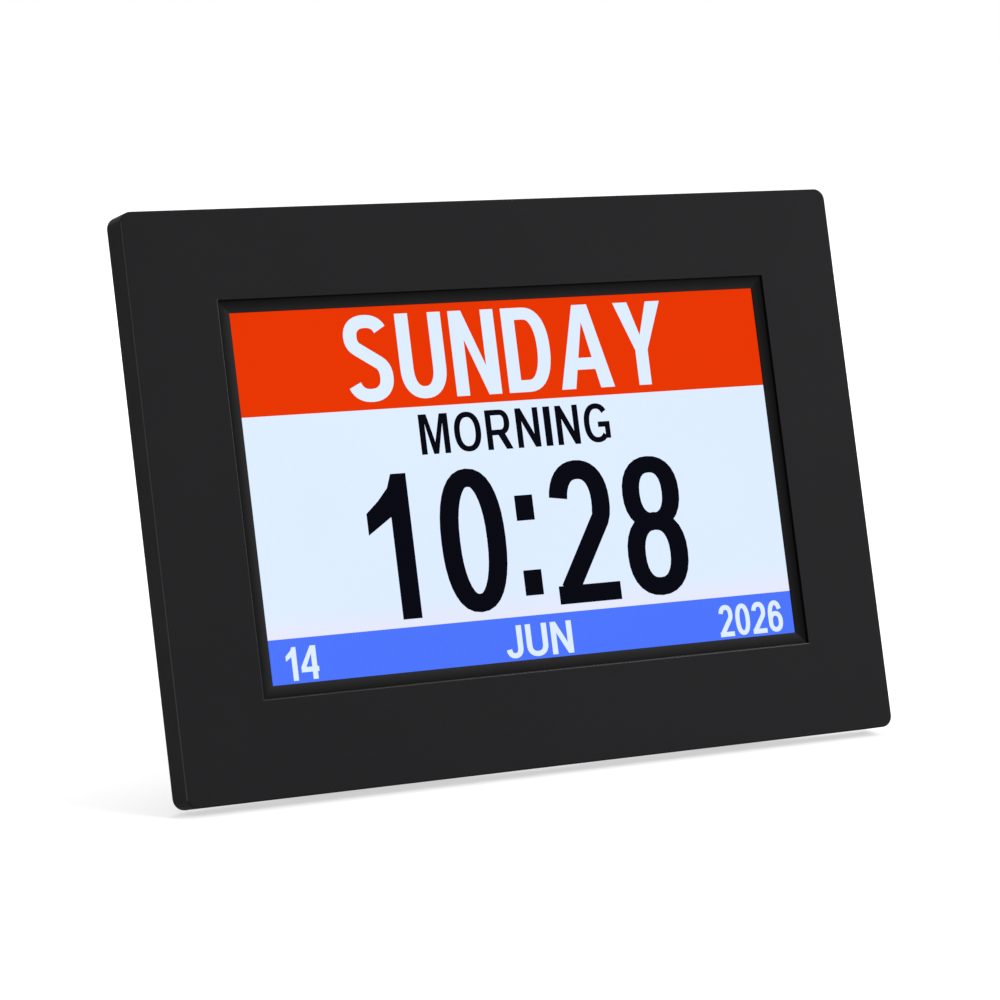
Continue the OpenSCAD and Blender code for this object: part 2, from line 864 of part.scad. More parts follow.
module led_board() {
  length = (led_count - 1) * led_pitch + led_w + 6;
  color("#e9e4d0")
    placed()
      slab(guide_y, guide_t)
        field(length, led_board_bottom, led_board_bottom + led_board_h);
}

module led_chips() {
  color("#f4dd72")
    placed()
      for (i = [0:led_count - 1])
        translate([(i - (led_count - 1) / 2) * led_pitch, 0, 0])
          slab(guide_y + 0.3, guide_t - 0.6)
            field(led_w, led_board_bottom + led_board_h, led_top);
}

module backlight_frame() {
  outer_w = module_w - 2 * tray_t - 2 * seat;
  outer_h = module_h - 2 * tray_t - 2 * seat;
  lip_w = screen_w + 2 * rear_glass_over + 0.6;
  color("#e8e8e6")
    placed()
      difference() {
        union() {
          slab(rear_polarizer_y, tray_y - rear_polarizer_y)
            square([outer_w, outer_h], center = true);
          // raised sides that keep the glass in place, open below for the flexible lead
          slab(front_glass_y + 0.2, rear_polarizer_y - front_glass_y)
            difference() {
              square([outer_w, outer_h], center = true);
              field(lip_w, -outer_h, screen_h / 2 + rear_glass_over + 0.3);
            }
        }
        slab(rear_polarizer_y - past, tray_y - rear_polarizer_y + 2 * past)
          field(screen_w + 2 * guide_over + 2 * seat, lamp_bottom, screen_h / 2 + guide_over + seat);
      }
}

module steel_tray() {
  wall_y = rear_glass_y + seat;
  color("#b9bcc0")
    placed()
      difference() {
        slab(wall_y, tray_back - wall_y)
          square([module_w, module_h], center = true);
        slab(wall_y - past, tray_y - wall_y + past)
          square([module_w - 2 * tray_t, module_h - 2 * tray_t], center = true);
        // slot for the backlight's lead
        box([lead_x - lead_w / 2 - 0.5, tray_y - past, led_board_bottom - 0.5],
            [lead_x + lead_w / 2 + 0.5, tray_back + past, led_board_bottom + led_board_h]);
      }
}

module screen_clips() {
  color("#c4c6c9")
    placed()
      for (sx = [0, 1])
        mirror([sx, 0, 0])
          for (sz = [-1, 1])
            difference() {
              along_z(sz * clip_z - clip_w / 2, clip_w)
                polygon([
                  [clip_outer_x, clip_boss_y], [clip_riser_x, clip_boss_y],
                  [clip_riser_x, tray_back], [clip_inner_x, tray_back],
                  [clip_inner_x, tray_back + clip_t], [clip_riser_x + clip_t, tray_back + clip_t],
                  [clip_riser_x + clip_t, clip_boss_y + clip_t], [clip_outer_x, clip_boss_y + clip_t]
                ]);
              rod([clip_screw_x, sz * clip_z], small_shank_r + screw_gap, clip_boss_y - past, rim_d);
            }
}

module clip_screws() {
  length = clip_boss_y + clip_t - front_t + 0.5;
  color("#8d9094")
    placed()
      for (p = clip_points)
        translate([p.x, clip_boss_y + clip_t, p.y])
          screw(small_head_r, small_head_h, small_shank_r, length);
}

// The screen's lead is bonded to the glass's lower ledge and bends round to the main board
module screen_flex() {
  ledge_y = rear_glass_y - flex_t / 2;
  below = -module_h / 2 - 1.4;
  behind = tray_back + 0.2 + flex_t / 2;
  socket_y = board_y - socket_t / 2;
  color("#c9822f")
    placed()
      along_x(flex_x - flex_w / 2, flex_w)
        strip([
          [ledge_y, -screen_h / 2 - front_glass_over - 0.3], [ledge_y, below],
          [behind, below], [behind, flex_socket_z - socket_h - flex_ramp],
          [socket_y, flex_socket_z - socket_h], [socket_y, flex_socket_z - socket_h / 2]
        ], flex_t);
}

module backlight_lead() {
  inside_z = led_board_bottom + led_board_h / 2;
  behind = tray_back + 0.2 + flex_t / 2;
  socket_y = board_y - socket_t / 2;
  color("#c9822f")
    placed()
      along_x(lead_x - lead_w / 2, lead_w)
        strip([
          [reflector_y, inside_z], [behind, inside_z],
          [behind, flex_socket_z - socket_h - flex_ramp / 2],
          [socket_y, flex_socket_z - socket_h + 1], [socket_y, flex_socket_z - socket_h / 2]
        ], flex_t);
}

// ---------------------------------------------------------------- boards

module main_board() {
  color("#1f6b3c")
    placed()
      slab(board_y, board_t)
        difference() {
          translate([board_x, board_z])
            square([board_w, board_h], center = true);
          for (p = board_points)
            translate(p)
              circle(small_shank_r + screw_gap);
        }
}

// A chip on the main board's rear side, placed from the board's middle
module chip(at, w, h, t) {
  slab(board_back, t)
    translate([board_x + at.x, board_z + at.y])
      square([w, h], center = true);
}

module processor() {
  color("#1a1a1c")
    placed()
      difference() {
        chip(processor_at, processor_w, processor_w, processor_t);
        // the moulded dot beside the first pin
        rod([board_x + processor_at.x - processor_w / 2 + mark_inset,
             board_z + processor_at.y + processor_w / 2 - mark_inset],
            part_t, board_back + processor_t - 0.2, board_back + 2 * processor_t);
      }
}

module memory_chip() {
  color("#1a1a1c")
    placed()
      chip(memory_at, memory_w, memory_h, memory_t);
}

module regulator() {
  color("#202022")
    placed() {
      chip(regulator_at, regulator_w, regulator_h, regulator_t);
      // its cooling tab
      chip(regulator_at - [0, (regulator_h + tab_w) / 2 - seat / 2], tab_w, tab_w, tab_t);
    }
}

module clock_crystal() {
  color("#c8c9cc")
    placed()
      slab(board_back, crystal_t)
        translate([board_x + crystal_at.x, board_z + crystal_at.y])
          round_rect(crystal_w, crystal_h, crystal_w / 2 - seat);
}

module capacitors() {
  color("#cfd1d4")
    placed()
      for (i = [-1:1])
        translate([board_x + capacitor_at.x, 0, board_z + capacitor_at.y + i * capacitor_pitch]) {
          slab(board_back, capacitor_base)
            square(capacitor_w, center = true);
          rod([0, 0], capacitor_r, board_back + capacitor_base, board_back + capacitor_t);
        }
}

module power_coil() {
  color("#2c2d30")
    placed()
      difference() {
        chip(coil_at, coil_w, coil_w, coil_t);
        rod([board_x + coil_at.x, board_z + coil_at.y], coil_r,
            board_back + coil_t * 0.875, board_back + coil_t + past);
      }
}

module chip_parts() {
  color("#b7a98a")
    placed() {
      // a row below the processor, a column beside it and a row in the lower half
      for (i = [0:7])
        chip([processor_at.x - processor_w + (part_pitch + 0.4) * i,
              processor_at.y - processor_w / 2 - 2.5], part_w, part_l, part_t);
      for (i = [0:5])
        chip([processor_at.x - processor_w / 2 - 5, processor_at.y - 6 + part_pitch * i],
             part_l, part_w, part_t);
      for (i = [0:4])
        chip([memory_at.x + 16 + part_pitch * i, memory_at.y - 15], part_w, part_l, part_t);
    }
}

// Sockets on the main board's front side
module board_sockets() {
  color("#efeadb")
    placed() {
      slab(board_y - socket_t, socket_t)
        translate([flex_x, flex_socket_z])
          square([flex_w + 4, socket_h], center = true);
      slab(board_y - socket_t, socket_t)
        translate([lead_x, flex_socket_z])
          square([lead_w + socket_t, socket_h], center = true);
      slab(board_y - socket_t, socket_t)
        translate([board_left + socket_h / 2 + 1, key_ribbon_z])
          square([socket_h, ribbon_w + 3], center = true);
      slab(board_y - 1.4 * socket_t, 1.4 * socket_t)
        translate([board_left + socket_h / 2 + 1.5, speaker_lead_z + lead_gap / 2])
          square([socket_h + 1, lead_gap + 4], center = true);
    }
}

module board_screws() {
  color("#8d9094")
    placed() {
      for (p = board_points)
        translate([p.x, board_y, p.y])
          mirror([0, 1, 0])
            screw(small_head_r, small_head_h, small_shank_r, board_t + 3.4);
      for (z = [key_board_bottom + key_post_inset, key_board_top - key_post_inset])
        translate([key_x, key_board_y, z])
          mirror([0, 1, 0])
            screw(small_head_r, small_head_h, small_shank_r, key_board_t + 3.4);
    }
}

module power_socket() {
  nose_x = pan_w / 2 - 0.3;
  body_x = wall_x - seat;
  bore_x = nose_x - jack_deep;
  color("#141416")
    placed()
      difference() {
        union() {
          box([body_x - jack_l, board_back, jack_z - jack_w / 2],
              [body_x, board_back + jack_h, jack_z + jack_w / 2]);
          rod_x(jack_y, jack_z, jack_nose_r - 0.1, body_x - 1, nose_x);
        }
        rod_x(jack_y, jack_z, jack_bore_r, bore_x, nose_x + past);
        rod_x(jack_y, jack_z, jack_pin_r + 0.01, bore_x - 2, bore_x + past);
      }
}

module socket_pin() {
  bore_x = pan_w / 2 - 0.3 - jack_deep;
  color("#c9a24a")
    placed()
      rod_x(jack_y, jack_z, jack_pin_r, bore_x - 2, bore_x + jack_deep - 1.2);
}

module cell_holder() {
  color("#18181a")
    placed()
      difference() {
        rod([cell_x, cell_z], cell_r + cell_wall, board_back, board_back + cell_base + 2.4);
        rod([cell_x, cell_z], cell_r + seat, board_back + cell_base, inside_y);
        // the side where the cell is pushed out
        box([cell_x - 4, board_back + cell_base, cell_z - cell_r - 4],
            [cell_x + 4, inside_y, cell_z]);
      }
}

module coin_cell() {
  rim = 0.8;
  color("#d3d5d8")
    placed() {
      rod([cell_x, cell_z], cell_r - rim, board_back + cell_base, board_back + cell_base + 0.4);
      rod([cell_x, cell_z], cell_r, board_back + cell_base + 0.4, board_back + cell_base + cell_t);
    }
}

module speaker_frame() {
  seat_r = magnet_r + 0.6;
  throat_y = speaker_front + magnet_t;
  color("#3b3d40")
    placed() {
      difference() {
        translate([speaker_x, 0, speaker_z])
          rotate([-90, 0, 0])
            rotate_extrude()
              polygon([
                [2, throat_y], [seat_r, throat_y], [speaker_r - 2, inside_y - 1.4],
                [speaker_r, inside_y - 1.4], [speaker_r, inside_y - seat / 2],
                [speaker_r - 2.4, inside_y - seat / 2], [speaker_r - 2.4, cone_rim_y],
                [speaker_r - 3.2, cone_rim_y], [seat_r - 0.4, throat_y + basket_t],
                [2, throat_y + basket_t]
              ]);
        // windows in the basket
        for (turn = [45, 135, 225, 315])
          translate([speaker_x, 0, speaker_z])
            rotate([0, turn, 0])
              box([magnet_r + 1.4, throat_y - 0.4, -2.2], [speaker_r - 3, inside_y - 1.7, 2.2]);
      }
      // the tag that the leads are soldered to
      box([speaker_lead_x - 2.4, inside_y - 3.6, speaker_lead_z - 1],
          [speaker_lead_x + 2.4, inside_y - 2.9, speaker_lead_z + lead_gap + 1]);
    }
}

module speaker_magnet() {
  color("#7c7f84")
    placed()
      difference() {
        rod([speaker_x, speaker_z], magnet_r, speaker_front, speaker_front + magnet_t);
        rod([speaker_x, speaker_z], 1.5, speaker_front - past, speaker_front + 1);
      }
}

module speaker_cone() {
  rim_r = speaker_r - 2.6;
  rim_t = 0.4;
  throat_r = 3;
  throat_y = speaker_front + magnet_t + basket_t + 0.3;
  skin = 0.6;
  color("#1b1b1d")
    placed()
      translate([speaker_x, 0, speaker_z])
        rotate([-90, 0, 0])
          rotate_extrude()
            polygon([
              [0, throat_y], [throat_r, throat_y], [rim_r - 1.6, cone_rim_y],
              [rim_r, cone_rim_y], [rim_r, cone_rim_y + rim_t], [rim_r - 1.9, cone_rim_y + rim_t],
              [throat_r, throat_y + skin], [0, throat_y + skin]
            ]);
}

// Two wires that run forward from the speaker's tag and then across to the main board
module speaker_leads() {
  start_y = inside_y - 3.6;
  color("#a8201c")
    placed()
      for (i = [0, 1])
        translate([speaker_lead_x, 0, speaker_lead_z + i * lead_gap]) {
          rod([0, 0], lead_r, lead_y + lead_bend, start_y);
          translate([lead_bend, lead_y + lead_bend, 0])
            rotate([0, 0, 180])
              rotate_extrude(angle = 90)
                translate([lead_bend, 0])
                  circle(lead_r);
          rod_x(lead_y, 0, lead_r, lead_bend, board_left + 1 - speaker_lead_x);
        }
}

// ---------------------------------------------------------------- keys

module key_board() {
  color("#1f6b3c")
    placed()
      slab(key_board_y, key_board_t)
        difference() {
          translate([key_x, 0])
            field(key_board_w, key_board_bottom, key_board_top);
          for (z = [key_board_bottom + key_post_inset, key_board_top - key_post_inset])
            translate([key_x, z])
              circle(small_shank_r + screw_gap);
        }
}

module key_switches() {
  color("#b8babd")
    placed()
      for (p = key_points)
        difference() {
          translate([p.x, 0, p.y])
            slab(key_board_back, switch_h)
              square(switch_w, center = true);
          rod(p, plunger_r + seat, key_board_back + switch_h - 1 - plunger_sink, inside_y);
        }
}

module key_socket() {
  color("#efeadb")
    placed()
      slab(key_board_y - socket_t, socket_t)
        translate([key_x + 2, key_ribbon_z])
          square([socket_h, ribbon_w + 3], center = true);
}

// A flat ribbon from the key board across to the main board
module key_ribbon() {
  from_x = key_x + 4.5;
  to_x = board_left + 1;
  from_y = key_board_y - socket_t / 2;
  to_y = board_y - socket_t / 2;
  low_y = tray_back + 1.4;
  color("#8f9296")
    placed()
      along_z(key_ribbon_z - ribbon_w / 2, ribbon_w)
        strip([
          [from_x, from_y], [from_x + 2, from_y], [from_x + 6, low_y],
          [to_x - 6, low_y], [to_x - 2, to_y], [to_x, to_y]
        ], ribbon_t);
}

// A key cap with its retaining collar: it ends on the plunger at its front end
module key_cap(i) {
  cap_back = case_d + key_proud;
  cap_edge = 0.6;
  p = key_points[i];
  color("#2b2b2e")
    placed()
      translate([p.x, 0, p.y])
        rotate([-90, 0, 0])
          rotate_extrude() {
            translate([0, plunger_top])
              square([key_r, cap_back - cap_edge - plunger_top]);
            translate([0, plunger_top])
              square([key_r - cap_edge, cap_back - plunger_top]);
            translate([key_r - cap_edge, cap_back - cap_edge])
              circle(cap_edge);
            translate([0, key_flange_y])
              square([key_flange_r, key_flange_t]);
          }
}

module plunger(i) {
  color("#101011")
    placed()
      rod(key_points[i], plunger_r, key_board_back + switch_h - 1, plunger_top);
}

// ---------------------------------------------------------------- stand

// The leg's plate in (x, z), hanging from the hinge at the origin
module leg_outline() {
  straight = 26;
  corner = 2;
  polygon([
    [-leg_w / 2, 0], [leg_w / 2, 0], [leg_w / 2, -straight],
    [leg_foot_w / 2, corner - leg_end], [leg_foot_w / 2 - corner, -leg_end],
    [corner - leg_foot_w / 2, -leg_end], [-leg_foot_w / 2, corner - leg_end],
    [-leg_w / 2, -straight]
  ]);
}

module stand_leg() {
  cell_rows = 5;
  cell_first = barrel_r + leg_rib;
  cell_last = leg_end - foot_bar_r - 2 * leg_rib - 6;
  cell_h = (cell_last - cell_first - (cell_rows - 1) * leg_rib) / cell_rows;
  cell_w = leg_foot_w / 2 - 1.5 * leg_rib;
  scoop_r = 9;
  scoop_w = 16;
  color("#29292b")
    placed()
      translate([0, hinge_y, hinge_z])
        rotate([open_angle, 0, 0])
          difference() {
            union() {
              rod_x(0, 0, barrel_r, -leg_w / 2, leg_w / 2);
              slab(leg_in, leg_t)
                leg_outline();
              box([-leg_w / 2, leg_in, -past], [leg_w / 2, leg_in + 2.6, heel_h]);
            }
            rod_x(0, 0, pin_r + pin_play, -leg_w / 2 - past, leg_w / 2 + past);
            // the hollow cells between the ribs
            for (sx = [-1, 1])
              for (i = [0:cell_rows - 1])
                translate([sx * (cell_w / 2 + leg_rib / 2), 0, -cell_first - i * (cell_h + leg_rib)])
                  box([-cell_w / 2, leg_in - past, -cell_h], [cell_w / 2, leg_out - leg_skin, 0]);
            // a scoop for the fingertip
            rod_x(leg_out + scoop_r - 0.9, 12 - leg_end, scoop_r, -scoop_w / 2, scoop_w / 2);
            rod_x(leg_mid, -leg_reach, foot_bar_r + 0.02, -leg_w, leg_w);
          }
}

module hinge_pin() {
  color("#c6c8cb")
    placed()
      rod_x(hinge_y, hinge_z, pin_r, -pin_length / 2, pin_length / 2);
}

module foot_bar() {
  color("#121212")
    placed()
      translate([0, hinge_y, hinge_z])
        rotate([open_angle, 0, 0])
          rod_x(leg_mid, -leg_reach, foot_bar_r, 1 - leg_foot_w / 2, leg_foot_w / 2 - 1);
}

// ---------------------------------------------------------------- assembly

front_bezel();
rear_cover();
cover_screws();
rubber_feet();
window_gasket();
front_polarizer();
front_glass();
rear_glass();
rear_polarizer();
film_stack();
light_guide();
reflector_sheet();
led_board();
led_chips();
backlight_frame();
steel_tray();
screen_clips();
clip_screws();
screen_flex();
backlight_lead();
main_board();
processor();
memory_chip();
regulator();
clock_crystal();
capacitors();
power_coil();
chip_parts();
board_sockets();
board_screws();
power_socket();
socket_pin();
cell_holder();
coin_cell();
speaker_frame();
speaker_magnet();
speaker_cone();
speaker_leads();
key_board();
key_switches();
key_socket();
key_ribbon();
key_cap(0);  // key_menu
key_cap(1);  // key_up
key_cap(2);  // key_down
key_cap(3);  // key_left
key_cap(4);  // key_right
key_cap(5);  // key_power
plunger(0);  // plunger_menu
plunger(1);  // plunger_up
plunger(2);  // plunger_down
plunger(3);  // plunger_left
plunger(4);  // plunger_right
plunger(5);  // plunger_power
stand_leg();
hinge_pin();
foot_bar();
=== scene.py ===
# %% [markdown]
# # Day clock
# A day clock is a small lit screen in a flat black plastic case. It tells the day, the part of the
# day, the time and the date in big plain letters, and leans back on a fold-out leg. The solid model
# of the clock comes in first as a fixed frame: every plate, screw and key is already in its place,
# in metres. What is left for this script is how it all looks, and the picture on the screen.

# %% Load the solid clock
import json
import math
import bpy
import bmesh
from mathutils import Matrix, Vector
from mathutils.geometry import delaunay_2d_cdt


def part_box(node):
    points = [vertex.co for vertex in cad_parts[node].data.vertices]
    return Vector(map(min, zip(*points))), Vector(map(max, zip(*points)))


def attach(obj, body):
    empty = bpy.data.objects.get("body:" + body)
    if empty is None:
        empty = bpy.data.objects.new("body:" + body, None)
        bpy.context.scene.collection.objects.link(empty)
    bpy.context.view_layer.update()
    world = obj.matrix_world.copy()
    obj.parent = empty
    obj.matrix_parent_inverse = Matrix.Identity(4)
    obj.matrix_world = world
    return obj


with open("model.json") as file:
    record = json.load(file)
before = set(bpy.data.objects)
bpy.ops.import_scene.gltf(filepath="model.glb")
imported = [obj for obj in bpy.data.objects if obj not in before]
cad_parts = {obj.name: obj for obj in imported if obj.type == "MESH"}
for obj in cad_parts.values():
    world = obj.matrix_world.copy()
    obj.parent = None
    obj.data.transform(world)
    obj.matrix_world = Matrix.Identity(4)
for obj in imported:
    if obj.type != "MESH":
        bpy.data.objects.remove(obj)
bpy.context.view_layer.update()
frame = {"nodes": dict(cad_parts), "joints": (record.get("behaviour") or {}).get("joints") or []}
nodes = frame["nodes"]

# %% [markdown]
# ## The case's own frame
# The case leans back, so a place on its face is awkward to give in the room's directions. It is
# easier to measure on the face itself: x to the right, y back from the front plane, z up the face,
# in millimetres from the middle of the picture. The lean is read from the direction that a key
# moves in, and the depth of the front plane from the screen's polarizer, so nothing is typed twice.

# %% Measure the lean and set up the case's frame
press = next(j for j in frame["joints"] if j["name"] == "menu_press")
LEAN = math.atan2(press["axis"][2], -press["axis"][1])
MM = 0.001
POLARIZER_MIDDLE = 1.2      # depth of the polarizer's middle behind the front plane, mm
low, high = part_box("front_polarizer")
turn = Matrix.Rotation(-LEAN, 4, "X")
origin = (low + high) / 2 - turn @ Vector((0, POLARIZER_MIDDLE * MM, 0))
CASE = Matrix.Translation(origin) @ turn @ Matrix.Scale(MM, 4)
CASE_BACK = CASE.inverted()


def on_case(x, y, z):
    """A place on the case, given in millimetres, as a place in the room."""
    return CASE @ Vector((x, y, z))


SCREEN_W, SCREEN_H = 152.4, 91.44
print("lean in degrees:", round(math.degrees(LEAN), 2))
print("picture's middle:", [round(v, 4) for v in origin])

# %% [markdown]
# ## Camera
# The clock is seen from its left and a little from above, by a long lens from about a metre away.
# The place was worked out from the four corners of the picture and of the case, whose real sizes
# are known: only one camera puts all of them where they are seen.

# %% Place the camera
EYE = (-473.6, -821.6, -78.4)                   # mm, on the case
LOOK, UP = (0.4918, 0.8673, 0.0774), (0.0679, -0.1268, 0.9896)
SENSOR, LENS, NEAREST = 36, 135.35, 0.01        # mm, mm and m
scene = bpy.context.scene


def linked(name, data):
    """A new object in the scene."""
    made = bpy.data.objects.new(name, data)
    scene.collection.objects.link(made)
    return made


eye = on_case(*EYE)
ahead = (turn.to_3x3() @ Vector(LOOK)).normalized()
side = ahead.cross(turn.to_3x3() @ Vector(UP)).normalized()
upward = side.cross(ahead).normalized()
camera_data = bpy.data.cameras.new("clock_camera")
camera_data.sensor_fit = "HORIZONTAL"
camera_data.sensor_width = SENSOR
camera_data.lens = LENS
camera_data.clip_start = NEAREST
camera = linked("clock_camera", camera_data)
camera.matrix_world = Matrix.Translation(eye) @ Matrix((side, upward, -ahead)).transposed().to_4x4()
bpy.context.scene.camera = camera
print("camera stands", round((eye - origin).length, 3), "m away")

# %% [markdown]
# ## Short forms for nodes
# Every finish on the clock is a small network of nodes, and the same few come back in all of them:
# a sum, a ramp, a blend of two shades. Each of these gets a short form that takes plain values and
# links alike, so the cells further down read like the finish they make. The general one also
# serves the trees that make meshes.

# %% Write short forms for nodes
def node_in(tree, kind, inputs=None, **settings):
    """A new node. Each input gets a plain value, or a link from another node's socket."""
    made = tree.nodes.new(kind)
    for name, value in settings.items():
        setattr(made, name, value)
    for name, value in (inputs or {}).items():
        if isinstance(value, bpy.types.NodeSocket):
            tree.links.new(value, made.inputs[name])
        else:
            made.inputs[name].default_value = value
    return made


def maths(tree):
    """Gives a function that adds one math node to a tree and returns its result."""
    def calc(operation, *values):
        return node_in(tree, "ShaderNodeMath", dict(enumerate(values)),
                       operation=operation).outputs[0]
    return calc


def ramp(tree, value, start, end, at_start=0.0, at_end=1.0):
    """One level at the start of a range, another at its end, and a straight ramp between."""
    return node_in(tree, "ShaderNodeMapRange", {
        "Value": value, "From Min": start, "From Max": end, "To Min": at_start,
        "To Max": at_end}).outputs["Result"]


def mixed(tree, share, first, second):
    """A number between two others."""
    return node_in(tree, "ShaderNodeMix", {"Factor": share, "A": first, "B": second},
                   data_type="FLOAT").outputs["Result"]


def mixed_colour(tree, share, first, second):
    """A colour between two others. The colour sockets of this node have numbers, not names."""
    return node_in(tree, "ShaderNodeMix", {0: share, 6: first, 7: second},
                   data_type="RGBA").outputs[2]


def scaled(tree, vector, scale):
    """A vector or colour, made longer or brighter."""
    return node_in(tree, "ShaderNodeVectorMath", {0: vector, "Scale": scale},
                   operation="SCALE").outputs[0]


def axes(tree, vector):
    """The three parts of a vector."""
    return node_in(tree, "ShaderNodeSeparateXYZ", {0: vector}).outputs


def new_shader(name, constants):
    """A new material, its tree, and its shader with some sockets filled in."""
    made = bpy.data.materials.new(name)
    made.use_nodes = True
    shader = made.node_tree.nodes["Principled BSDF"]
    for title, value in constants.items():
        shader.inputs[title].default_value = value
    return made, made.node_tree, shader


print("short forms:", [form.__name__ for form in (node_in, maths, ramp, mixed, mixed_colour, scaled,
                                                  axes, new_shader)])

# %% [markdown]
# ## Light and floor
# A matt black thing on white needs soft light that comes from one side, or its edges vanish. The
# main lamp stands high in front on the right: it lights the front evenly, leaves the left side a
# little darker, and catches the edges of the window that face up and right. A very weak lamp on the
# left keeps that side from going flat, one above lights the top, and one behind lights the back.
# The world gives the rest. For the camera it is plain white, and metal and glass show that white
# too where they mirror the space behind the clock. In front, where a real studio is dim, they
# mirror the room and its lamps. The floor is a pale grey sheet that is lifted to white for the
# camera, and so keeps the clock's shadow. Far from the clock less light falls on it, so it is
# lifted more there.

# %% Light the studio
scene.view_settings.view_transform = "Standard"
ROOM_LIGHT, DIM_ROOM = 0.42, 0.16
FRONT_ENDS, BACK_STARTS = 0.1, 0.5      # how far back a direction points, 0 to 1
WHITE = (1, 1, 1, 1)
world = bpy.data.worlds.new("studio")
world.use_nodes = True
wt = world.node_tree
room = wt.nodes["Background"]
room.inputs["Color"].default_value = WHITE
seen_by = wt.nodes.new("ShaderNodeLightPath").outputs
pointing = axes(wt, wt.nodes.new("ShaderNodeTexCoord").outputs["Generated"])
bent = maths(wt)("MAXIMUM", seen_by["Is Glossy Ray"], seen_by["Is Transmission Ray"])
behind = ramp(wt, pointing["Y"], FRONT_ENDS, BACK_STARTS, DIM_ROOM, 1.0)
level = mixed(wt, seen_by["Is Camera Ray"], mixed(wt, bent, ROOM_LIGHT, behind), 1.0)
wt.links.new(level, room.inputs["Strength"])
scene.world = world

LAMPS = {                       # place and width in metres, power in watts
    "key_lamp": ((1.05, -0.95, 0.95), 0.8, 22.5),
    "fill_lamp": ((-1.2, -1.4, 0.5), 0.4, 0.6),
    "top_lamp": ((0.2, 0.25, 1.5), 0.6, 8),
    "back_lamp": ((0.8, 1.3, 0.8), 0.6, 11)}
CLOCK_MIDDLE = Vector((0, 0, 0.07))
for name, (place, width, power) in LAMPS.items():
    light = bpy.data.lights.new(name, "AREA")
    light.shape = "SQUARE"
    light.size = width
    light.energy = power
    lamp = linked(name, light)
    lamp.location = place
    lamp.rotation_euler = (CLOCK_MIDDLE - Vector(place)).to_track_quat("-Z", "Y").to_euler()
print("lamps:", ", ".join(LAMPS))

# %% Lay the floor
HALF, FLOOR_Z = 6.0, -0.0002            # m
NEAR, FAR = 0.2, 1.6                    # m from the clock
NEAR_LIFT, FAR_LIFT = 0.6, 0.9
PALE_GREY = (0.5, 0.5, 0.5, 1)
floor_mesh = bpy.data.meshes.new("floor")
floor_mesh.from_pydata([(x * HALF, y * HALF, FLOOR_Z)
                        for x, y in ((-1, -1), (1, -1), (1, 1), (-1, 1))], [], [(0, 1, 2, 3)])
pale, pt, paint = new_shader("pale_floor", {"Base Color": PALE_GREY, "Roughness": 0.9,
                                            "Specular IOR Level": 0.1, "Emission Color": WHITE})
seen_by = pt.nodes.new("ShaderNodeLightPath").outputs
calc = maths(pt)
shown = calc("MAXIMUM", calc("MAXIMUM", seen_by["Is Camera Ray"], seen_by["Is Glossy Ray"]),
             seen_by["Is Transmission Ray"])
from_clock = node_in(pt, "ShaderNodeVectorMath",
                     {0: pt.nodes.new("ShaderNodeTexCoord").outputs["Object"]}, operation="LENGTH")
lift = ramp(pt, from_clock.outputs["Value"], NEAR, FAR, NEAR_LIFT, FAR_LIFT)
pt.links.new(calc("MULTIPLY", shown, lift), paint.inputs["Emission Strength"])
floor_mesh.materials.append(pale)
linked("floor", floor_mesh)
print("floor:", 2 * HALF, "m wide")

# %% [markdown]
# ## Grain and dust
# Moulded plastic isn't smooth. The steel mould is eroded by sparks, which leaves a fine even grain,
# and nearly every finish on the clock has some such grain: the plastic, the rubber, the paper cone
# of the speaker. Handling adds faint smudges, which show as places that shine a little more. Both
# are needed in many materials, so each is a node group that is built once. A group only puts out
# numbers and colours, and the shader that uses them stays in the material.

# %% Build the grain group
def new_group(name, inputs, outputs):
    """An empty shader group. An input without a default is a vector, all else are numbers."""
    group = bpy.data.node_groups.new(name, "ShaderNodeTree")
    for title, value in inputs.items():
        kind = "NodeSocketVector" if value is None else "NodeSocketFloat"
        made = group.interface.new_socket(title, in_out="INPUT", socket_type=kind)
        if value is not None:
            made.default_value = value
    for title in outputs:
        group.interface.new_socket(title, in_out="OUTPUT", socket_type="NodeSocketFloat")
    return group, group.nodes.new("NodeGroupInput").outputs


def put_out(group, **results):
    """Ends a group: says what it puts out."""
    node_in(group, "NodeGroupOutput", results)
    print("group:", group.name, "with", len(group.nodes), "nodes")


grain_group, given = new_group(
    "moulded_grain", {"Vector": None, "Scale": 1800.0, "Coarse": 0.35}, ["Height"])
fine = node_in(grain_group, "ShaderNodeTexNoise", {
    "Vector": given["Vector"], "Scale": given["Scale"], "Detail": 2.0, "Roughness": 0.55})
wider = maths(grain_group)("MULTIPLY", given["Scale"], 0.45)
rough = node_in(grain_group, "ShaderNodeTexVoronoi", {"Vector": given["Vector"], "Scale": wider},
                feature="SMOOTH_F1")
put_out(grain_group, Height=mixed(grain_group, given["Coarse"], fine.outputs["Fac"],
                                  rough.outputs["Distance"]))

# %% Build the smudge group
smudge_group, given = new_group("smudges", {"Vector": None, "Scale": 22.0}, ["Mask", "Cloud"])
cloud = node_in(smudge_group, "ShaderNodeTexNoise", {
    "Vector": given["Vector"], "Scale": given["Scale"], "Detail": 4.0,
    "Roughness": 0.6}).outputs["Fac"]
put_out(smudge_group, Mask=ramp(smudge_group, cloud, 0.52, 0.72), Cloud=cloud)
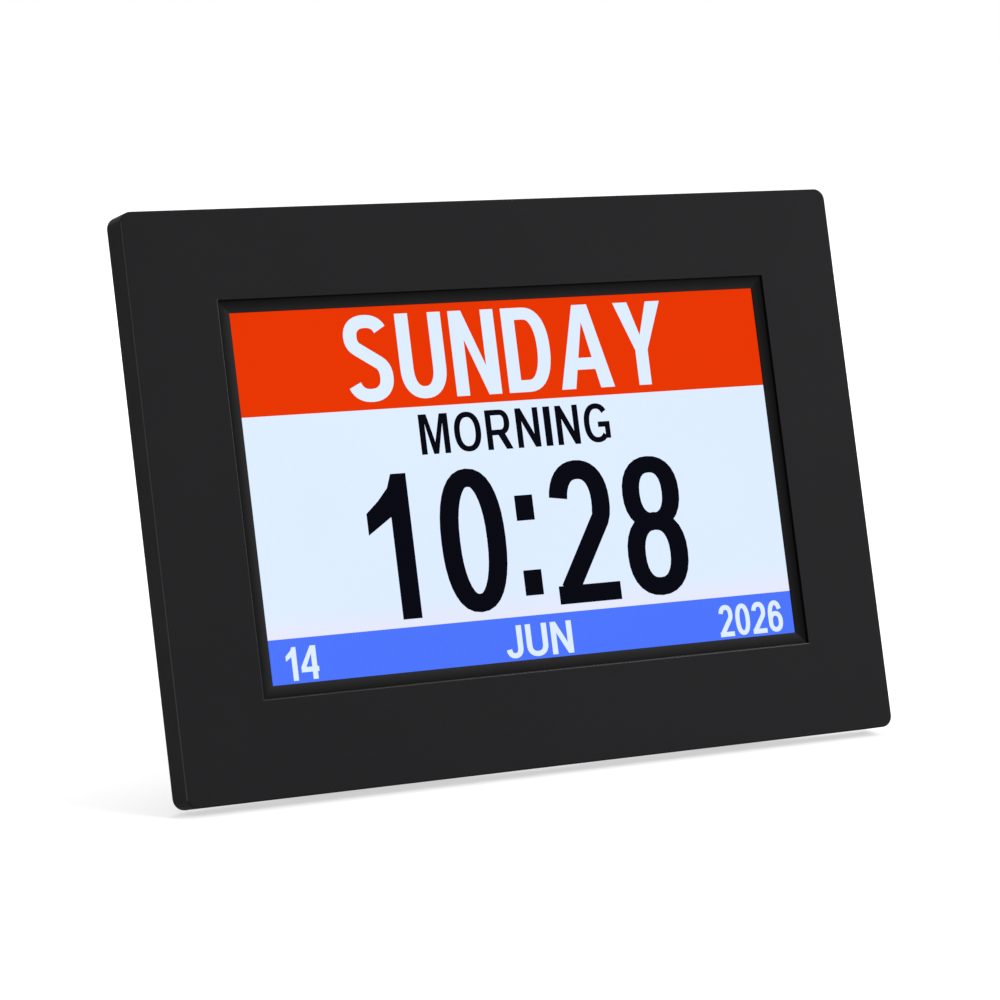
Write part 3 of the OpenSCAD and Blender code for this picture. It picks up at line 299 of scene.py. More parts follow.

# %% [markdown]
# ## The border of the window
# The colour of the plastic round the picture isn't the same all over. A small step leads down from
# the front, then a border slopes in to the picture. Its colour holds painted shade and light: the
# painted shade is darkest under the step, and painted light from the picture makes the border
# lighter towards it. Its right and top sides get more painted shade than the other two, so a mitre
# line shows in each corner. Its left and lower edges, and the front's left edge, are a little
# glossier and get a thin painted highlight. The round of the top left corner gets a painted glint.
# These places are found by measuring on the face, so the pattern stays on the plastic wherever the
# clock stands.

# %% Measure on the face
def face_place(tree):
    """The place on the clock's face in millimetres, for a pattern that follows the screen."""
    return node_in(tree, "ShaderNodeMapping", {
        "Vector": tree.nodes.new("ShaderNodeTexCoord").outputs["Object"],
        "Scale": (1 / MM,) * 3, "Rotation": (LEAN, 0, 0), "Location": CASE_BACK.translation},
        vector_type="POINT").outputs["Vector"]


bezel = [CASE_BACK @ nodes["front_bezel"].matrix_world @ corner.co
         for corner in nodes["front_bezel"].data.vertices]
CASE_SIDE, CASE_TOP = -min(p.x for p in bezel), max(p.z for p in bezel)
print("case's side and top, mm:", round(CASE_SIDE, 2), round(CASE_TOP, 2))

# %% Build the border group
BORDER_W, BORDER_STARTS = 3.45, -0.05           # mm, the second from the window's side
STEP_IN, STEP_OUT, SOFT = -0.3, 0.05, 0.05      # the window's edge that gets a painted highlight, mm from its side
ROUND_IN, ROUND_OUT = 0.2, 0.32                 # the round of the front's edge that gets a painted highlight, mm
CORNER_IN, CORNER_OUT = 1.9, 2.3                # the corner's painted glint, side and top added up, mm
CORNER_FRONT, CORNER_BACK = 0.2, 0.5            # and its depth, mm
# Shares of the painted highlight and coat on the window's edge and of the painted glint on the
# corner, and the light the top side keeps from the painted shade.
WINDOW_EDGE_SHARE, CORNER_GLINT_SHARE, TOP_SHARE = 0.38, 0.7, 0.35
border_group, given = new_group(
    "window_border",
    {"Vector": None, "Half width": SCREEN_W / 2, "Half height": SCREEN_H / 2, "Border": BORDER_W,
     "Case side": CASE_SIDE, "Case top": CASE_TOP},
    ["Border", "Inward", "Edge", "Shine", "Side"])
calc = maths(border_group)


def rise(value, start, end):
    """0 at one value and 1 at another."""
    return ramp(border_group, value, start, end)


def in_step(value):
    """1 on the step of the window, with soft ends, by how far a place is from its side."""
    return calc("MULTIPLY", rise(value, STEP_IN - SOFT, STEP_IN),
                rise(value, STEP_OUT + SOFT, STEP_OUT))


x, y, z = axes(border_group, given["Vector"])
out_x = calc("SUBTRACT", calc("ABSOLUTE", x), given["Half width"])
out_z = calc("SUBTRACT", calc("ABSOLUTE", z), given["Half height"])
away = calc("SUBTRACT", calc("MAXIMUM", out_x, out_z), given["Border"])
left_x = calc("SUBTRACT", calc("MULTIPLY", x, -1.0), given["Half width"])
low_z = calc("SUBTRACT", calc("MULTIPLY", z, -1.0), given["Half height"])
away_low_left = calc("SUBTRACT", calc("MAXIMUM", left_x, low_z), given["Border"])
window_edge = calc("MULTIPLY", in_step(away), in_step(away_low_left))
side_away = calc("ADD", x, given["Case side"])
top_away = calc("SUBTRACT", given["Case top"], z)
# The front's left edge, for its painted highlight and its coat.
case_edge = calc("MULTIPLY", rise(side_away, ROUND_OUT, ROUND_IN), rise(y, ROUND_OUT, ROUND_IN))
# The round of the top left corner, which gets a painted glint.
corner_glint = calc("MULTIPLY", rise(calc("ADD", side_away, top_away), CORNER_OUT, CORNER_IN),
                   rise(y, CORNER_FRONT, CORNER_BACK))
shiny = calc("MAXIMUM", case_edge, calc("MULTIPLY", window_edge, WINDOW_EDGE_SHARE))
# Side is 1 on the border's left and lower sides, less on the top and least on the right, where its
# painted shade is deepest.
upright = calc("GREATER_THAN", out_x, out_z)            # nearest side is the left or the right
left_right = rise(x, 1.0, -1.0)                         # 1 on the left
bottom_top = calc("MAXIMUM", rise(z, 1.0, -1.0), TOP_SHARE)     # 1 at the bottom
put_out(border_group,
        Border=calc("LESS_THAN", away, BORDER_STARTS),
        Inward=calc("DIVIDE", calc("MULTIPLY", away, -1.0), given["Border"]),
        Edge=calc("MAXIMUM", shiny, calc("MULTIPLY", corner_glint, CORNER_GLINT_SHARE)),
        Shine=shiny,
        Side=calc("ADD", calc("MULTIPLY", left_right, upright),
                  calc("MULTIPLY", bottom_top, calc("SUBTRACT", 1.0, upright))))

# %% [markdown]
# ## Finishes
# One recipe serves most of the clock: a colour that wanders a little between two shades, a
# roughness that the smudges lower here and there, and the grain as a slight bump. What differs is
# the numbers, so the recipe is a function and each finish is one call of it. Metals get their
# shine from Metallic, clear parts from Transmission Weight, both set straight on the shader.

# %% Write the recipe for a finish
def srgb(r, g, b):
    """A colour given in the 0 to 255 steps of a screen, as the linear values shaders use."""
    return tuple((c / 12.92 if c <= 0.04045 else ((c + 0.055) / 1.055) ** 2.4)
                 for c in (r / 255, g / 255, b / 255)) + (1.0,)


def group_in(tree, group, inputs):
    """A group placed in a material, and what it puts out."""
    return node_in(tree, "ShaderNodeGroup", inputs, node_tree=group).outputs


GLOSSIEST = 0.03                # the lowest roughness that smudges may leave
BUMP_STEP = 0.0001              # m


def finish(name, light, dark, roughness, grain=0.1, scale=1800.0, coarse=0.35, smudge=0.0,
           cloud=22.0, **constants):
    """A finish between two shades, with grain and smudges. Constants go straight on the shader."""
    made, tree, shader = new_shader(name, {title.replace("_", " "): value
                                           for title, value in constants.items()})
    place = tree.nodes.new("ShaderNodeTexCoord").outputs["Object"]
    dirt = group_in(tree, smudge_group, {"Vector": place, "Scale": cloud})
    colour = mixed_colour(tree, dirt["Cloud"], srgb(*dark), srgb(*light))
    gloss = ramp(tree, dirt["Mask"], 0.0, 1.0, roughness, max(GLOSSIEST, roughness - smudge))
    tree.links.new(colour, shader.inputs["Base Color"])
    tree.links.new(gloss, shader.inputs["Roughness"])
    if grain:
        texture = group_in(tree, grain_group, {"Vector": place, "Scale": scale, "Coarse": coarse})
        bump = node_in(tree, "ShaderNodeBump", {"Strength": grain, "Distance": BUMP_STEP,
                                                "Height": texture["Height"]})
        tree.links.new(bump.outputs["Normal"], shader.inputs["Normal"])
    return made


worn = {}                       # node: the name of its finish


def wear(names, material):
    """Puts a finish on solid nodes, in place of the plain one that they came with."""
    for name in names:
        for place in nodes[name].material_slots:
            place.material = material
        worn[name] = material.name
    return material


print("white paper in linear values:", [round(v, 3) for v in srgb(235, 235, 235)])

# %% Finishes of the outside
case_front = wear(["front_bezel"], finish(
    "case_black", (37, 37, 38.6), (34, 34, 35.4), 0.62, grain=0.25, scale=2600, smudge=0.06,
    Specular_IOR_Level=0.02))
wear(["rear_cover"], finish(
    "cover_black", (40, 40, 41), (35, 35, 36), 0.7, grain=0.5, scale=1500, coarse=0.6,
    smudge=0.05, Specular_IOR_Level=0.15))
leg_black = wear(["stand_leg"], finish(
    "leg_black", (43, 43, 45), (37, 37, 39), 0.6, grain=0.35, scale=1700, smudge=0.08,
    Specular_IOR_Level=0.2))
KEYS = ("menu", "up", "down", "left", "right", "power")
wear(["key_" + key for key in KEYS], finish(
    "key_black", (50, 50, 53), (44, 44, 47), 0.42, grain=0.08, scale=3000, smudge=0.12,
    Specular_IOR_Level=0.35))
wear(["rubber_feet", "foot_bar"], finish(
    "rubber", (30, 30, 30), (22, 22, 22), 0.86, grain=0.4, scale=1100, coarse=0.7,
    smudge=-0.06, cloud=60, Specular_IOR_Level=0.25))
wear(["cover_screws"], finish(
    "screw_steel", (96, 97, 100), (70, 71, 74), 0.4, grain=0.12, scale=4200, smudge=0.1,
    cloud=300, Metallic=0.9))
wear(["power_socket"], finish(
    "socket_black", (26, 26, 27), (20, 20, 21), 0.35, grain=0.05, smudge=0.05,
    Specular_IOR_Level=0.4))
wear(["socket_pin"], finish(
    "brass", (222, 178, 84), (186, 142, 60), 0.28, grain=0.03, smudge=0.1, cloud=300,
    Metallic=1.0))
wear(["hinge_pin"], finish(
    "pin_steel", (200, 201, 204), (165, 166, 170), 0.3, grain=0.05, scale=3600, smudge=0.08,
    cloud=200, Metallic=1.0))
print("nodes dressed:", len(worn), "of", len(nodes))

# %% Paint shade, light and highlights on the window's border
# Painted shade under the step, painted light from the picture, and the painted highlight of the
# edges.
BORDER_PAINTED_SHADE, BORDER_PAINTED_LIGHT, EDGE_HIGHLIGHT = srgb(16, 16, 17), srgb(45, 45, 46), srgb(62, 62, 63)
# PAINTED_SIDE_SHADE is the level of the painted shade on the border's right side; POLISH is the
# coat on the edges.
PAINTED_SIDE_SHADE, POLISH, POLISH_ROUGHNESS = 0.45, 0.65, 0.25


def add_border(material):
    """Adds painted shade and light on the window's border, painted edge highlights and a coat."""
    tree = material.node_tree
    shader = tree.nodes["Principled BSDF"]
    shader.inputs["Coat Roughness"].default_value = POLISH_ROUGHNESS
    plain_colour = shader.inputs["Base Color"].links[0].from_socket
    measured = group_in(tree, border_group, {"Vector": face_place(tree)})
    # Painted shade near the step, painted light near the picture, then painted shade on the top and
    # right sides.
    slope = mixed_colour(tree, measured["Inward"], BORDER_PAINTED_SHADE, BORDER_PAINTED_LIGHT)
    shaded = scaled(tree, slope, ramp(tree, measured["Side"], 0.0, 1.0, PAINTED_SIDE_SHADE))
    border = mixed_colour(tree, measured["Border"], plain_colour, shaded)
    # The painted highlight of the edges and the painted glint of the corner.
    highlighted = mixed_colour(tree, measured["Edge"], border, EDGE_HIGHLIGHT)
    tree.links.new(highlighted, shader.inputs["Base Color"])
    polish = maths(tree)("MULTIPLY", measured["Shine"], POLISH)
    tree.links.new(polish, shader.inputs["Coat Weight"])


add_border(case_front)
print("nodes in the finish of the front:", len(case_front.node_tree.nodes))

# %% Finishes of the screen
wear(["window_gasket"], finish(
    "foam", (28, 28, 28), (16, 16, 16), 0.95, grain=0.9, scale=1400, coarse=0.8))
wear(["front_polarizer", "rear_polarizer"], finish(
    "dark_film", (24, 26, 31), (17, 19, 23), 0.3, grain=0.04, scale=4000, smudge=0.04,
    Specular_IOR_Level=0.4))
wear(["front_glass", "rear_glass"], finish(
    "cell_glass", (90, 104, 110), (74, 88, 95), 0.12, grain=0, smudge=0.04,
    Transmission_Weight=0.6, IOR=1.5))
wear(["film_stack"], finish(
    "frosted_film", (238, 240, 241), (226, 229, 231), 0.55, scale=3800))
wear(["light_guide"], finish(
    "acrylic", (226, 236, 237), (210, 222, 224), 0.16, grain=0.02, Transmission_Weight=0.7,
    IOR=1.49))
wear(["reflector_sheet"], finish(
    "white_film", (246, 246, 244), (235, 235, 232), 0.42, grain=0.05))
wear(["led_board"], finish(
    "led_strip", (233, 228, 206), (214, 208, 184), 0.5, grain=0.06))
wear(["led_chips"], finish(
    "phosphor", (246, 222, 110), (228, 196, 80), 0.45, grain=0.15, scale=5000))
wear(["backlight_frame"], finish(
    "white_plastic", (232, 232, 229), (216, 216, 212), 0.55, grain=0.15, scale=2200,
    smudge=0.05))
wear(["steel_tray"], finish(
    "tray_steel", (150, 152, 156), (126, 128, 132), 0.42, grain=0.12, scale=900, coarse=0.7,
    smudge=0.1, cloud=30, Metallic=1.0))
wear(["screen_clips", "clip_screws", "board_screws"], finish(
    "clip_steel", (196, 198, 201), (170, 172, 176), 0.3, grain=0.08, scale=2500, smudge=0.08,
    cloud=120, Metallic=1.0))
wear(["screen_flex", "backlight_lead"], finish(
    "amber_flex", (206, 136, 52), (176, 108, 34), 0.33, grain=0.05, smudge=0.06, cloud=80))
print("nodes dressed:", len(worn), "of", len(nodes))

# %% [markdown]
# ## Tracks of the boards
# A circuit board is copper under a green film. Where copper runs, the film looks lighter, and where
# two layers meet there is a small tinned dot. The tracks run in bundles, up the board in some areas
# and across it in others. So the group draws fine lines both ways, and slow noise decides which of
# them show. The lines are counted in the case's millimetres, as on the real board.

# %% Build the track group
tracks_group, given = new_group(
    "board_tracks", {"Vector": None, "Pitch": 1.0, "Half width": 0.17}, ["Track", "Dot"])
WIDE_PITCH, DOT_RADIUS = 3.0, 0.11      # in pitches, and as a share of the wide pitch
calc = maths(tracks_group)
x, _, z = axes(tracks_group, given["Vector"])


def from_line(along, pitch):
    """How far a place is from the nearest line, as a share of the pitch."""
    share = calc("FRACT", calc("DIVIDE", along, pitch))
    return calc("ABSOLUTE", calc("SUBTRACT", share, 0.5))


def areas(scale, above):
    """1 in the areas where slow noise lies above a level."""
    slow = node_in(tracks_group, "ShaderNodeTexNoise", {
        "Vector": given["Vector"], "Scale": scale, "Detail": 0.0})
    return calc("GREATER_THAN", slow.outputs["Fac"], above)


up_lines, cross_lines = (calc("LESS_THAN", from_line(along, given["Pitch"]), given["Half width"])
                         for along in (x, z))
goes_up = areas(0.085, 0.5)
chosen = calc("ADD", calc("MULTIPLY", up_lines, goes_up),
              calc("MULTIPLY", cross_lines, calc("SUBTRACT", 1.0, goes_up)))
wide = calc("MULTIPLY", given["Pitch"], WIDE_PITCH)
off_x, off_z = from_line(x, wide), from_line(z, wide)
off_dot = calc("SQRT", calc("ADD", calc("MULTIPLY", off_x, off_x),
                            calc("MULTIPLY", off_z, off_z)))
put_out(tracks_group, Track=calc("MULTIPLY", chosen, areas(0.16, 0.49)),
        Dot=calc("MULTIPLY", calc("LESS_THAN", off_dot, DOT_RADIUS), areas(0.21, 0.53)))

# %% Finishes of the boards
mask_green = wear(["main_board", "key_board"], finish(
    "solder_mask", (34, 110, 64), (22, 84, 46), 0.38, grain=0.12, scale=700, coarse=0.2,
    smudge=0.08, cloud=90))
OVER_COPPER, TIN = srgb(58, 140, 84), srgb(204, 205, 208)


def add_tracks(material):
    """Draws the tracks and the tinned dots on the green of a board."""
    tree = material.node_tree
    shader = tree.nodes["Principled BSDF"]
    green = shader.inputs["Base Color"].links[0].from_socket
    drawn = group_in(tree, tracks_group, {"Vector": face_place(tree)})
    over_copper = mixed_colour(tree, drawn["Track"], green, OVER_COPPER)
    tree.links.new(mixed_colour(tree, drawn["Dot"], over_copper, TIN), shader.inputs["Base Color"])
    tree.links.new(drawn["Dot"], shader.inputs["Metallic"])


add_tracks(mask_green)
wear(["processor", "memory_chip", "regulator", "cell_holder"], finish(
    "chip_epoxy", (34, 34, 36), (24, 24, 26), 0.6, grain=0.2, scale=3500))
wear(["clock_crystal", "capacitors", "key_switches"], finish(
    "can_metal", (205, 206, 209), (176, 178, 182), 0.26, grain=0.05, smudge=0.08, cloud=300,
    Metallic=1.0))
wear(["chip_parts"], finish("ceramic", (186, 170, 140), (160, 142, 110), 0.5, scale=6000))
wear(["power_coil"], finish("ferrite", (48, 49, 53), (36, 37, 40), 0.55, grain=0.3, scale=3000))
wear(["board_sockets", "key_socket"], finish(
    "cream_plastic", (238, 233, 218), (222, 216, 198), 0.5, scale=2600))
wear(["coin_cell"], finish(
    "cell_steel", (212, 214, 217), (186, 188, 192), 0.22, grain=0.06, scale=2000, smudge=0.1,
    cloud=150, Metallic=1.0))
wear(["key_ribbon"], finish(
    "ribbon_grey", (150, 152, 156), (128, 130, 134), 0.48, scale=1300, smudge=0.05))
wear(["plunger_" + key for key in KEYS], finish(
    "plunger_black", (24, 24, 25), (16, 16, 17), 0.4, grain=0.06))
print("nodes dressed:", len(worn), "of", len(nodes))

# %% Finishes of the speaker
wear(["speaker_magnet"], finish(
    "magnet_zinc", (128, 131, 136), (100, 103, 108), 0.36, grain=0.15, scale=1500,
    smudge=0.08, cloud=90, Metallic=1.0))
wear(["speaker_cone"], finish(
    "cone_paper", (34, 34, 36), (24, 24, 26), 0.9, grain=0.8, scale=900, coarse=0.15))
wear(["speaker_frame"], finish(
    "basket_steel", (70, 72, 76), (56, 58, 62), 0.5, grain=0.15, smudge=0.06, cloud=100,
    Metallic=0.6))
wear(["speaker_leads"], finish(
    "red_lead", (176, 34, 28), (146, 22, 18), 0.42, grain=0.05, smudge=0.05))
print("nodes without a finish of their own:", [name for name in nodes if name not in worn])

# %% [markdown]
# ## Drawing letters with a pen
# The screen shows letters in a heavy sans-serif. They could come from a font, but a font has its
# own proportions, and these are squeezed in a different way on each line. So each letter is drawn
# as pen strokes: a path down the middle, widened by an oval pen that is broader across than it is
# tall. That gives thick uprights and thinner bars by itself, at any squeeze. The strokes of one
# letter overlap, so they are cut against each other into one flat sheet of triangles.

# %% Draw strokes
def arc(cx, cy, rx, ry, start, end, steps=14, full=0.88):
    """Points along part of an oval, angles in degrees. Below 1, full fills out its corners."""
    points = []
    for i in range(steps + 1):
        angle = math.radians(start + (end - start) * i / steps)
        c, s = math.cos(angle), math.sin(angle)
        points.append((cx + rx * math.copysign(abs(c) ** full, c),
                       cy + ry * math.copysign(abs(s) ** full, s)))
    return points


def stroke(path, wide, tall, closed=False):
    """The quads that an oval pen covers along a path."""
    count = len(path)
    left, right = [], []
    for i, (x, y) in enumerate(path):
        before = path[i - 1] if i > 0 else (path[-2] if closed else path[0])
        after = path[i + 1] if i < count - 1 else (path[1] if closed else path[-1])
        dx, dy = after[0] - before[0], after[1] - before[1]
        length = math.hypot(dx, dy)
        nx, ny = -dy / length, dx / length
        half = math.hypot(wide * nx, tall * ny) / 2
        left.append((x + nx * half, y + ny * half))
        right.append((x - nx * half, y - ny * half))
    return [[right[i], right[i + 1], left[i + 1], left[i]] for i in range(count - 1)]


def bar(x0, y0, x1, y1):
    """An upright rectangle."""
    return [[(x0, y0), (x1, y0), (x1, y1), (x0, y1)]]


def mirrored(shapes, width):
    """The same shapes the other way round, across the middle of a letter."""
    return [[(width - x, y) for x, y in reversed(shape)] for shape in shapes]


print("an arc has", len(arc(0, 0, 1, 1, 0, 90)), "points")

# %% Write the round letters
# Each letter is 1 tall. v is the width of an upright, h the thickness of a bar.
WIDTHS = {"S": 0.66, "U": 0.66, "N": 0.66, "D": 0.67, "A": 0.80, "Y": 0.72, "M": 0.82, "O": 0.76,
          "R": 0.72, "I": 0.20, "G": 0.75, "J": 0.52, "0": 0.68, "1": 0.44, "2": 0.67, "4": 0.72,
          "6": 0.68, "8": 0.68}


def round_letter(sign, w, v, h):
    """Strokes of the letters and figures that are mostly round."""
    x0, x1, y0, y1 = v / 2, w - v / 2, h / 2, 1 - h / 2
    cx, rx, ry = w / 2, w / 2 - v / 2, 0.5 - h / 2
    if sign in "O0":
        ring = arc(cx, 0.5, rx, ry, 0, 360, 36)
        return stroke(ring, v, h, closed=True)
    if sign == "8":
        top = arc(cx, (0.53 + y1) / 2, rx * 0.93, (y1 - 0.53) / 2, 0, 360, 28)
        low = arc(cx, (0.53 + y0) / 2, rx, (0.53 - y0) / 2, 0, 360, 28)
        return stroke(top, v * 0.97, h * 0.92, closed=True) + stroke(low, v, h, closed=True)
    if sign == "6":
        bowl = arc(cx, 0.33, rx, 0.33 - y0, 0, 360, 28)
        back = arc(cx, 0.5, rx, ry, 28, 200, 22)
        return stroke(bowl, v, h, closed=True) + stroke(back, v, h)
    if sign == "S":
        gap = 0.05
        r_up, r_low = (y1 - 0.53 - gap) / 2, (0.53 - gap - y0) / 2
        lean = math.degrees(math.acos((r_up + r_low) / (r_up + r_low + 2 * gap)))
        top = arc(cx, y1 - r_up, rx * 0.94, r_up, 22, 270 - lean, 20)
        low = arc(cx, y0 + r_low, rx, r_low, 90 - lean, -160, 20)
        return stroke(top + low, v, h * 1.06)
    if sign == "2":
        top = arc(cx, y1 - 0.235, rx * 0.96, 0.235, 172, -28, 20)
        foot = (v * 0.62, h * 0.75)
        return stroke(top + [foot], v, h * 1.05) + bar(0, 0, w, h)
    if sign == "U":
        bowl = arc(cx, 0.36, rx, 0.36 - y0, 180, 360, 20)
        return stroke([(x0, 1), (x0, 0.36)] + bowl[1:] + [(x1, 1)], v, h)
    if sign == "J":
        hook = arc(cx, 0.32, rx, 0.32 - y0, 0, -172, 18)
        return stroke([(x1, 1), (x1, 0.32)] + hook[1:], v, h)
    if sign == "G":
        sweep = arc(cx, 0.5, rx, ry, 38, 318, 30)
        chin = bar(w - v * 0.92, 0.1, w, 0.53) + bar(w * 0.54, 0.53 - h, w, 0.53)
        return stroke(sweep, v, h) + chin
    if sign == "D":
        bend = arc(w * 0.46, 0.5, w * 0.54 - v / 2, ry, 90, -90, 20)
        path = [(x0, y1)] + bend + [(x0, y0)]
        return stroke(path, v, h) + bar(0, 0, v, 1)
    if sign == "R":
        bend = arc(w * 0.56, (0.43 + y1) / 2, w * 0.39 - v / 2, (y1 - 0.43) / 2, 90, -90, 16)
        path = [(x0, y1)] + bend + [(x0, 0.43)]
        leg = [[(w * 0.40, 0.44), (w - v * 1.18, 0), (w, 0), (w * 0.70, 0.44)]]
        return stroke(path, v, h) + bar(0, 0, v, 1) + leg
    return None


print("quads in an O:", len(round_letter("O", WIDTHS["O"], 0.17, 0.14)))

# %% Write the straight letters
def straight_letter(sign, w, v, h):
    """Shapes of the letters and figures that are all straight."""
    if sign == "N":
        slant = [[(0, 1), (v * 0.5, 0.66), (v, 0.66), (w - v, 0), (w, 0), (w - v * 0.5, 0.34),
                  (w - v, 0.34), (v, 1)]]
        return bar(0, 0, v, 1) + bar(w - v, 0, w, 1) + slant
    if sign == "A":
        foot, cap = v * 1.12, v * 0.6
        leg = [[(0, 0), (foot, 0), (w / 2, 0.79), (w / 2, 1), (w / 2 - cap, 1)]]
        return leg + mirrored(leg, w) + bar(w * 0.22, 0.225, w * 0.78, 0.225 + h)
    if sign == "Y":
        arm = [[(0, 1), (w / 2 - v / 2, 0.42), (w / 2 - v / 2, 0), (w / 2, 0), (w / 2, 0.6),
                (v * 1.16, 1)]]
        return arm + mirrored(arm, w)
    if sign == "M":
        half = [[(0, 1), (v * 0.5, 0.76), (v, 0.76), (w / 2 - v * 0.44, 0), (w / 2, 0),
                 (w / 2, 0.3), (v * 1.4, 1)]]
        return bar(0, 0, v, 1) + bar(w - v, 0, w, 1) + half + mirrored(half, w)
    if sign == "1":
        return [[(w - v, 0), (w, 0), (w, 1), (w - v * 0.8, 1), (w - v * 1.05, 0.905),
                 (w - v * 1.6, 0.82), (0, 0.74), (0, 0.59), (w - v, 0.705)]]
    if sign == "4":
        post = w * 0.62
        slant = [[(0, 0.225), (0, 0.385), (post - 0.01, 1), (post + v, 1), (post, 0.76),
                  (v * 0.98, 0.225 + h), (v, 0.225)]]
        return slant + bar(post, 0, post + v, 1) + bar(0, 0.225, w, 0.225 + h)
    if sign == "I":
        return bar(0, 0, w, 1)
    raise ValueError(sign)


def letter(sign, w, v, h):
    """The shapes of any letter or figure."""
    return round_letter(sign, w, v, h) or straight_letter(sign, w, v, h)


print("letters known:", " ".join(WIDTHS))

# %% [markdown]
# ## The picture
# The picture is laid out like a tear-off calendar: a red band with the day, a pale field with the
# part of the day and the time, and a blue band with the date. The words are plain ones that any
# such clock can show. Each band and each word is a flat sheet of light between the lip of the case
# and the polarizer, with the letters a hair in front of the bands. The light is emission, as in
# a real screen. The base under it is nearly black and has no gloss, so that the lamps don't wash
# the colours out.

# %% Make the light of the screen
panel_group, given = new_group(
    "panel_light", {"Vector": None, "Stripes": 0.03, "Patches": 0.05}, ["Light"])
calc = maths(panel_group)
stripe = node_in(panel_group, "ShaderNodeTexWave", {
    "Vector": given["Vector"], "Scale": 0.42, "Distortion": 0.0},
    wave_type="BANDS", bands_direction="X")
glow = node_in(panel_group, "ShaderNodeTexNoise", {
    "Vector": given["Vector"], "Scale": 0.02, "Detail": 1.0})
lost = calc("ADD", calc("MULTIPLY", stripe.outputs["Fac"], given["Stripes"]),
            calc("MULTIPLY", glow.outputs["Fac"], given["Patches"]))
put_out(panel_group, Light=calc("SUBTRACT", 1.0, lost))

# %% Mix the lit colours
WHOLE_HEIGHT = (-45.7, 45.7)    # mm up the picture
DARK_BASE = {"Base Color": (0.0008, 0.0008, 0.001, 1), "Roughness": 0.42,
             "Specular IOR Level": 0.0, "Emission Strength": 1.0}


def lit(name, upper, lower=None, stripes=0.03, fade=WHOLE_HEIGHT):
    """A lit part of the picture, which may change from an upper to a lower colour."""
    made, tree, shader = new_shader(name, DARK_BASE)
    place = face_place(tree)
    light = group_in(tree, panel_group, {"Vector": place, "Stripes": stripes})["Light"]
    tone = mixed_colour(tree, ramp(tree, axes(tree, place)["Z"], *fade),
                        srgb(*(lower or upper)), srgb(*upper))
    tree.links.new(scaled(tree, tone, light), shader.inputs["Emission Color"])
    return made


PAPER_WHITE = (227, 243, 262)
lit_red = lit("lit_red", (236, 55, 1), (234, 58, 2), stripes=0.02)
lit_pale = lit("lit_pale", PAPER_WHITE, (238, 238, 256), fade=(-36, -28))
lit_blue = lit("lit_blue", (85, 126, 264), (80, 121, 262), stripes=0.08)
lit_white = lit("lit_white", PAPER_WHITE)
lit_black = lit("lit_black", (9, 9, 19), stripes=0.0)
print("lit colours:", [m.name for m in (lit_red, lit_pale, lit_blue, lit_white, lit_black)])

# %% Turn flat shapes into sheets
FACES_BACK = 9.0                # mm, a sheet deeper than this faces backwards
JOIN, FLAT = 1e-5, 0.01         # mm, corners this near are one; radians, faces this flat are one
INSIDE = 1                      # keeps the triangles that lie inside a shape


def turned_left(shape):
    """The corners of a shape in the order that keeps its inside on the left."""
    area = sum(a[0] * b[1] - b[0] * a[1] for a, b in zip(shape, shape[1:] + shape[:1]))
    return shape if area > 0 else shape[::-1]


def add_piece(name, mesh, material, body):
    """Makes a finished mesh a piece of the clock."""
    mesh.materials.append(material)
    piece = linked(name, mesh)
    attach(piece, body)


def flat_sheet(name, shapes, to_case, material, body, thick=0.0):
    """One sheet from overlapping flat shapes. to_case gives a corner's place on the case."""
    points, faces = [], []
    for shape in map(turned_left, shapes):
        faces.append(list(range(len(points), len(points) + len(shape))))
        points.extend(Vector(p) for p in shape)
    flat = delaunay_2d_cdt(points, [], faces, INSIDE, JOIN)
    inked = [face for face, drawn_by in zip(flat[2], flat[5]) if drawn_by]
    mesh = bpy.data.meshes.new(name)
    mesh.from_pydata([on_case(*to_case(p.x, p.y)) for p in flat[0]], [], inked)
    shaped = bmesh.new()
    shaped.from_mesh(mesh)
    facing = 1 if to_case(0, 0)[1] > FACES_BACK else -1
    outward = (on_case(0, facing, 0) - on_case(0, 0, 0)).normalized()
    bmesh.ops.dissolve_limit(shaped, angle_limit=FLAT, verts=shaped.verts, edges=shaped.edges)
    for face in shaped.faces:
        face.normal_update()
        if face.normal.dot(outward) < 0:
            face.normal_flip()
    if thick:
        grown_out = bmesh.ops.extrude_face_region(shaped, geom=shaped.faces[:])["geom"]
        bmesh.ops.translate(shaped, vec=outward * thick * MM,
                            verts=[v for v in grown_out if isinstance(v, bmesh.types.BMVert)])
        bmesh.ops.recalc_face_normals(shaped, faces=shaped.faces)
    bmesh.ops.triangulate(shaped, faces=shaped.faces)
    shaped.to_mesh(mesh)
    shaped.free()
    add_piece(name, mesh, material, body)
    print(name + ":", len(mesh.polygons), "faces")


print("corners nearer than", JOIN, "mm are joined")

# %% Lay out the bands
BAND_DEPTH, WORD_DEPTH = 1.085, 1.065   # behind the front plane, mm


def sheet_of_light(name, shapes, depth, material):
    """A lit sheet, given in mm right of and below the picture's corner."""
    flat_sheet(name, shapes,
               lambda right, down: (right - SCREEN_W / 2, depth, SCREEN_H / 2 - down),
               material, "case")


EDGE = 0.1                  # the picture runs this far behind the dark margin
RED_END, BLUE_START = 25.75, 80.5
for name, top, bottom, material in (("picture_red_band", -EDGE, RED_END, lit_red),
                                    ("picture_pale_field", RED_END, BLUE_START, lit_pale),
                                    ("picture_blue_band", BLUE_START, SCREEN_H + EDGE, lit_blue)):
    sheet_of_light(name, bar(-EDGE, top, SCREEN_W + EDGE, bottom), BAND_DEPTH, material)

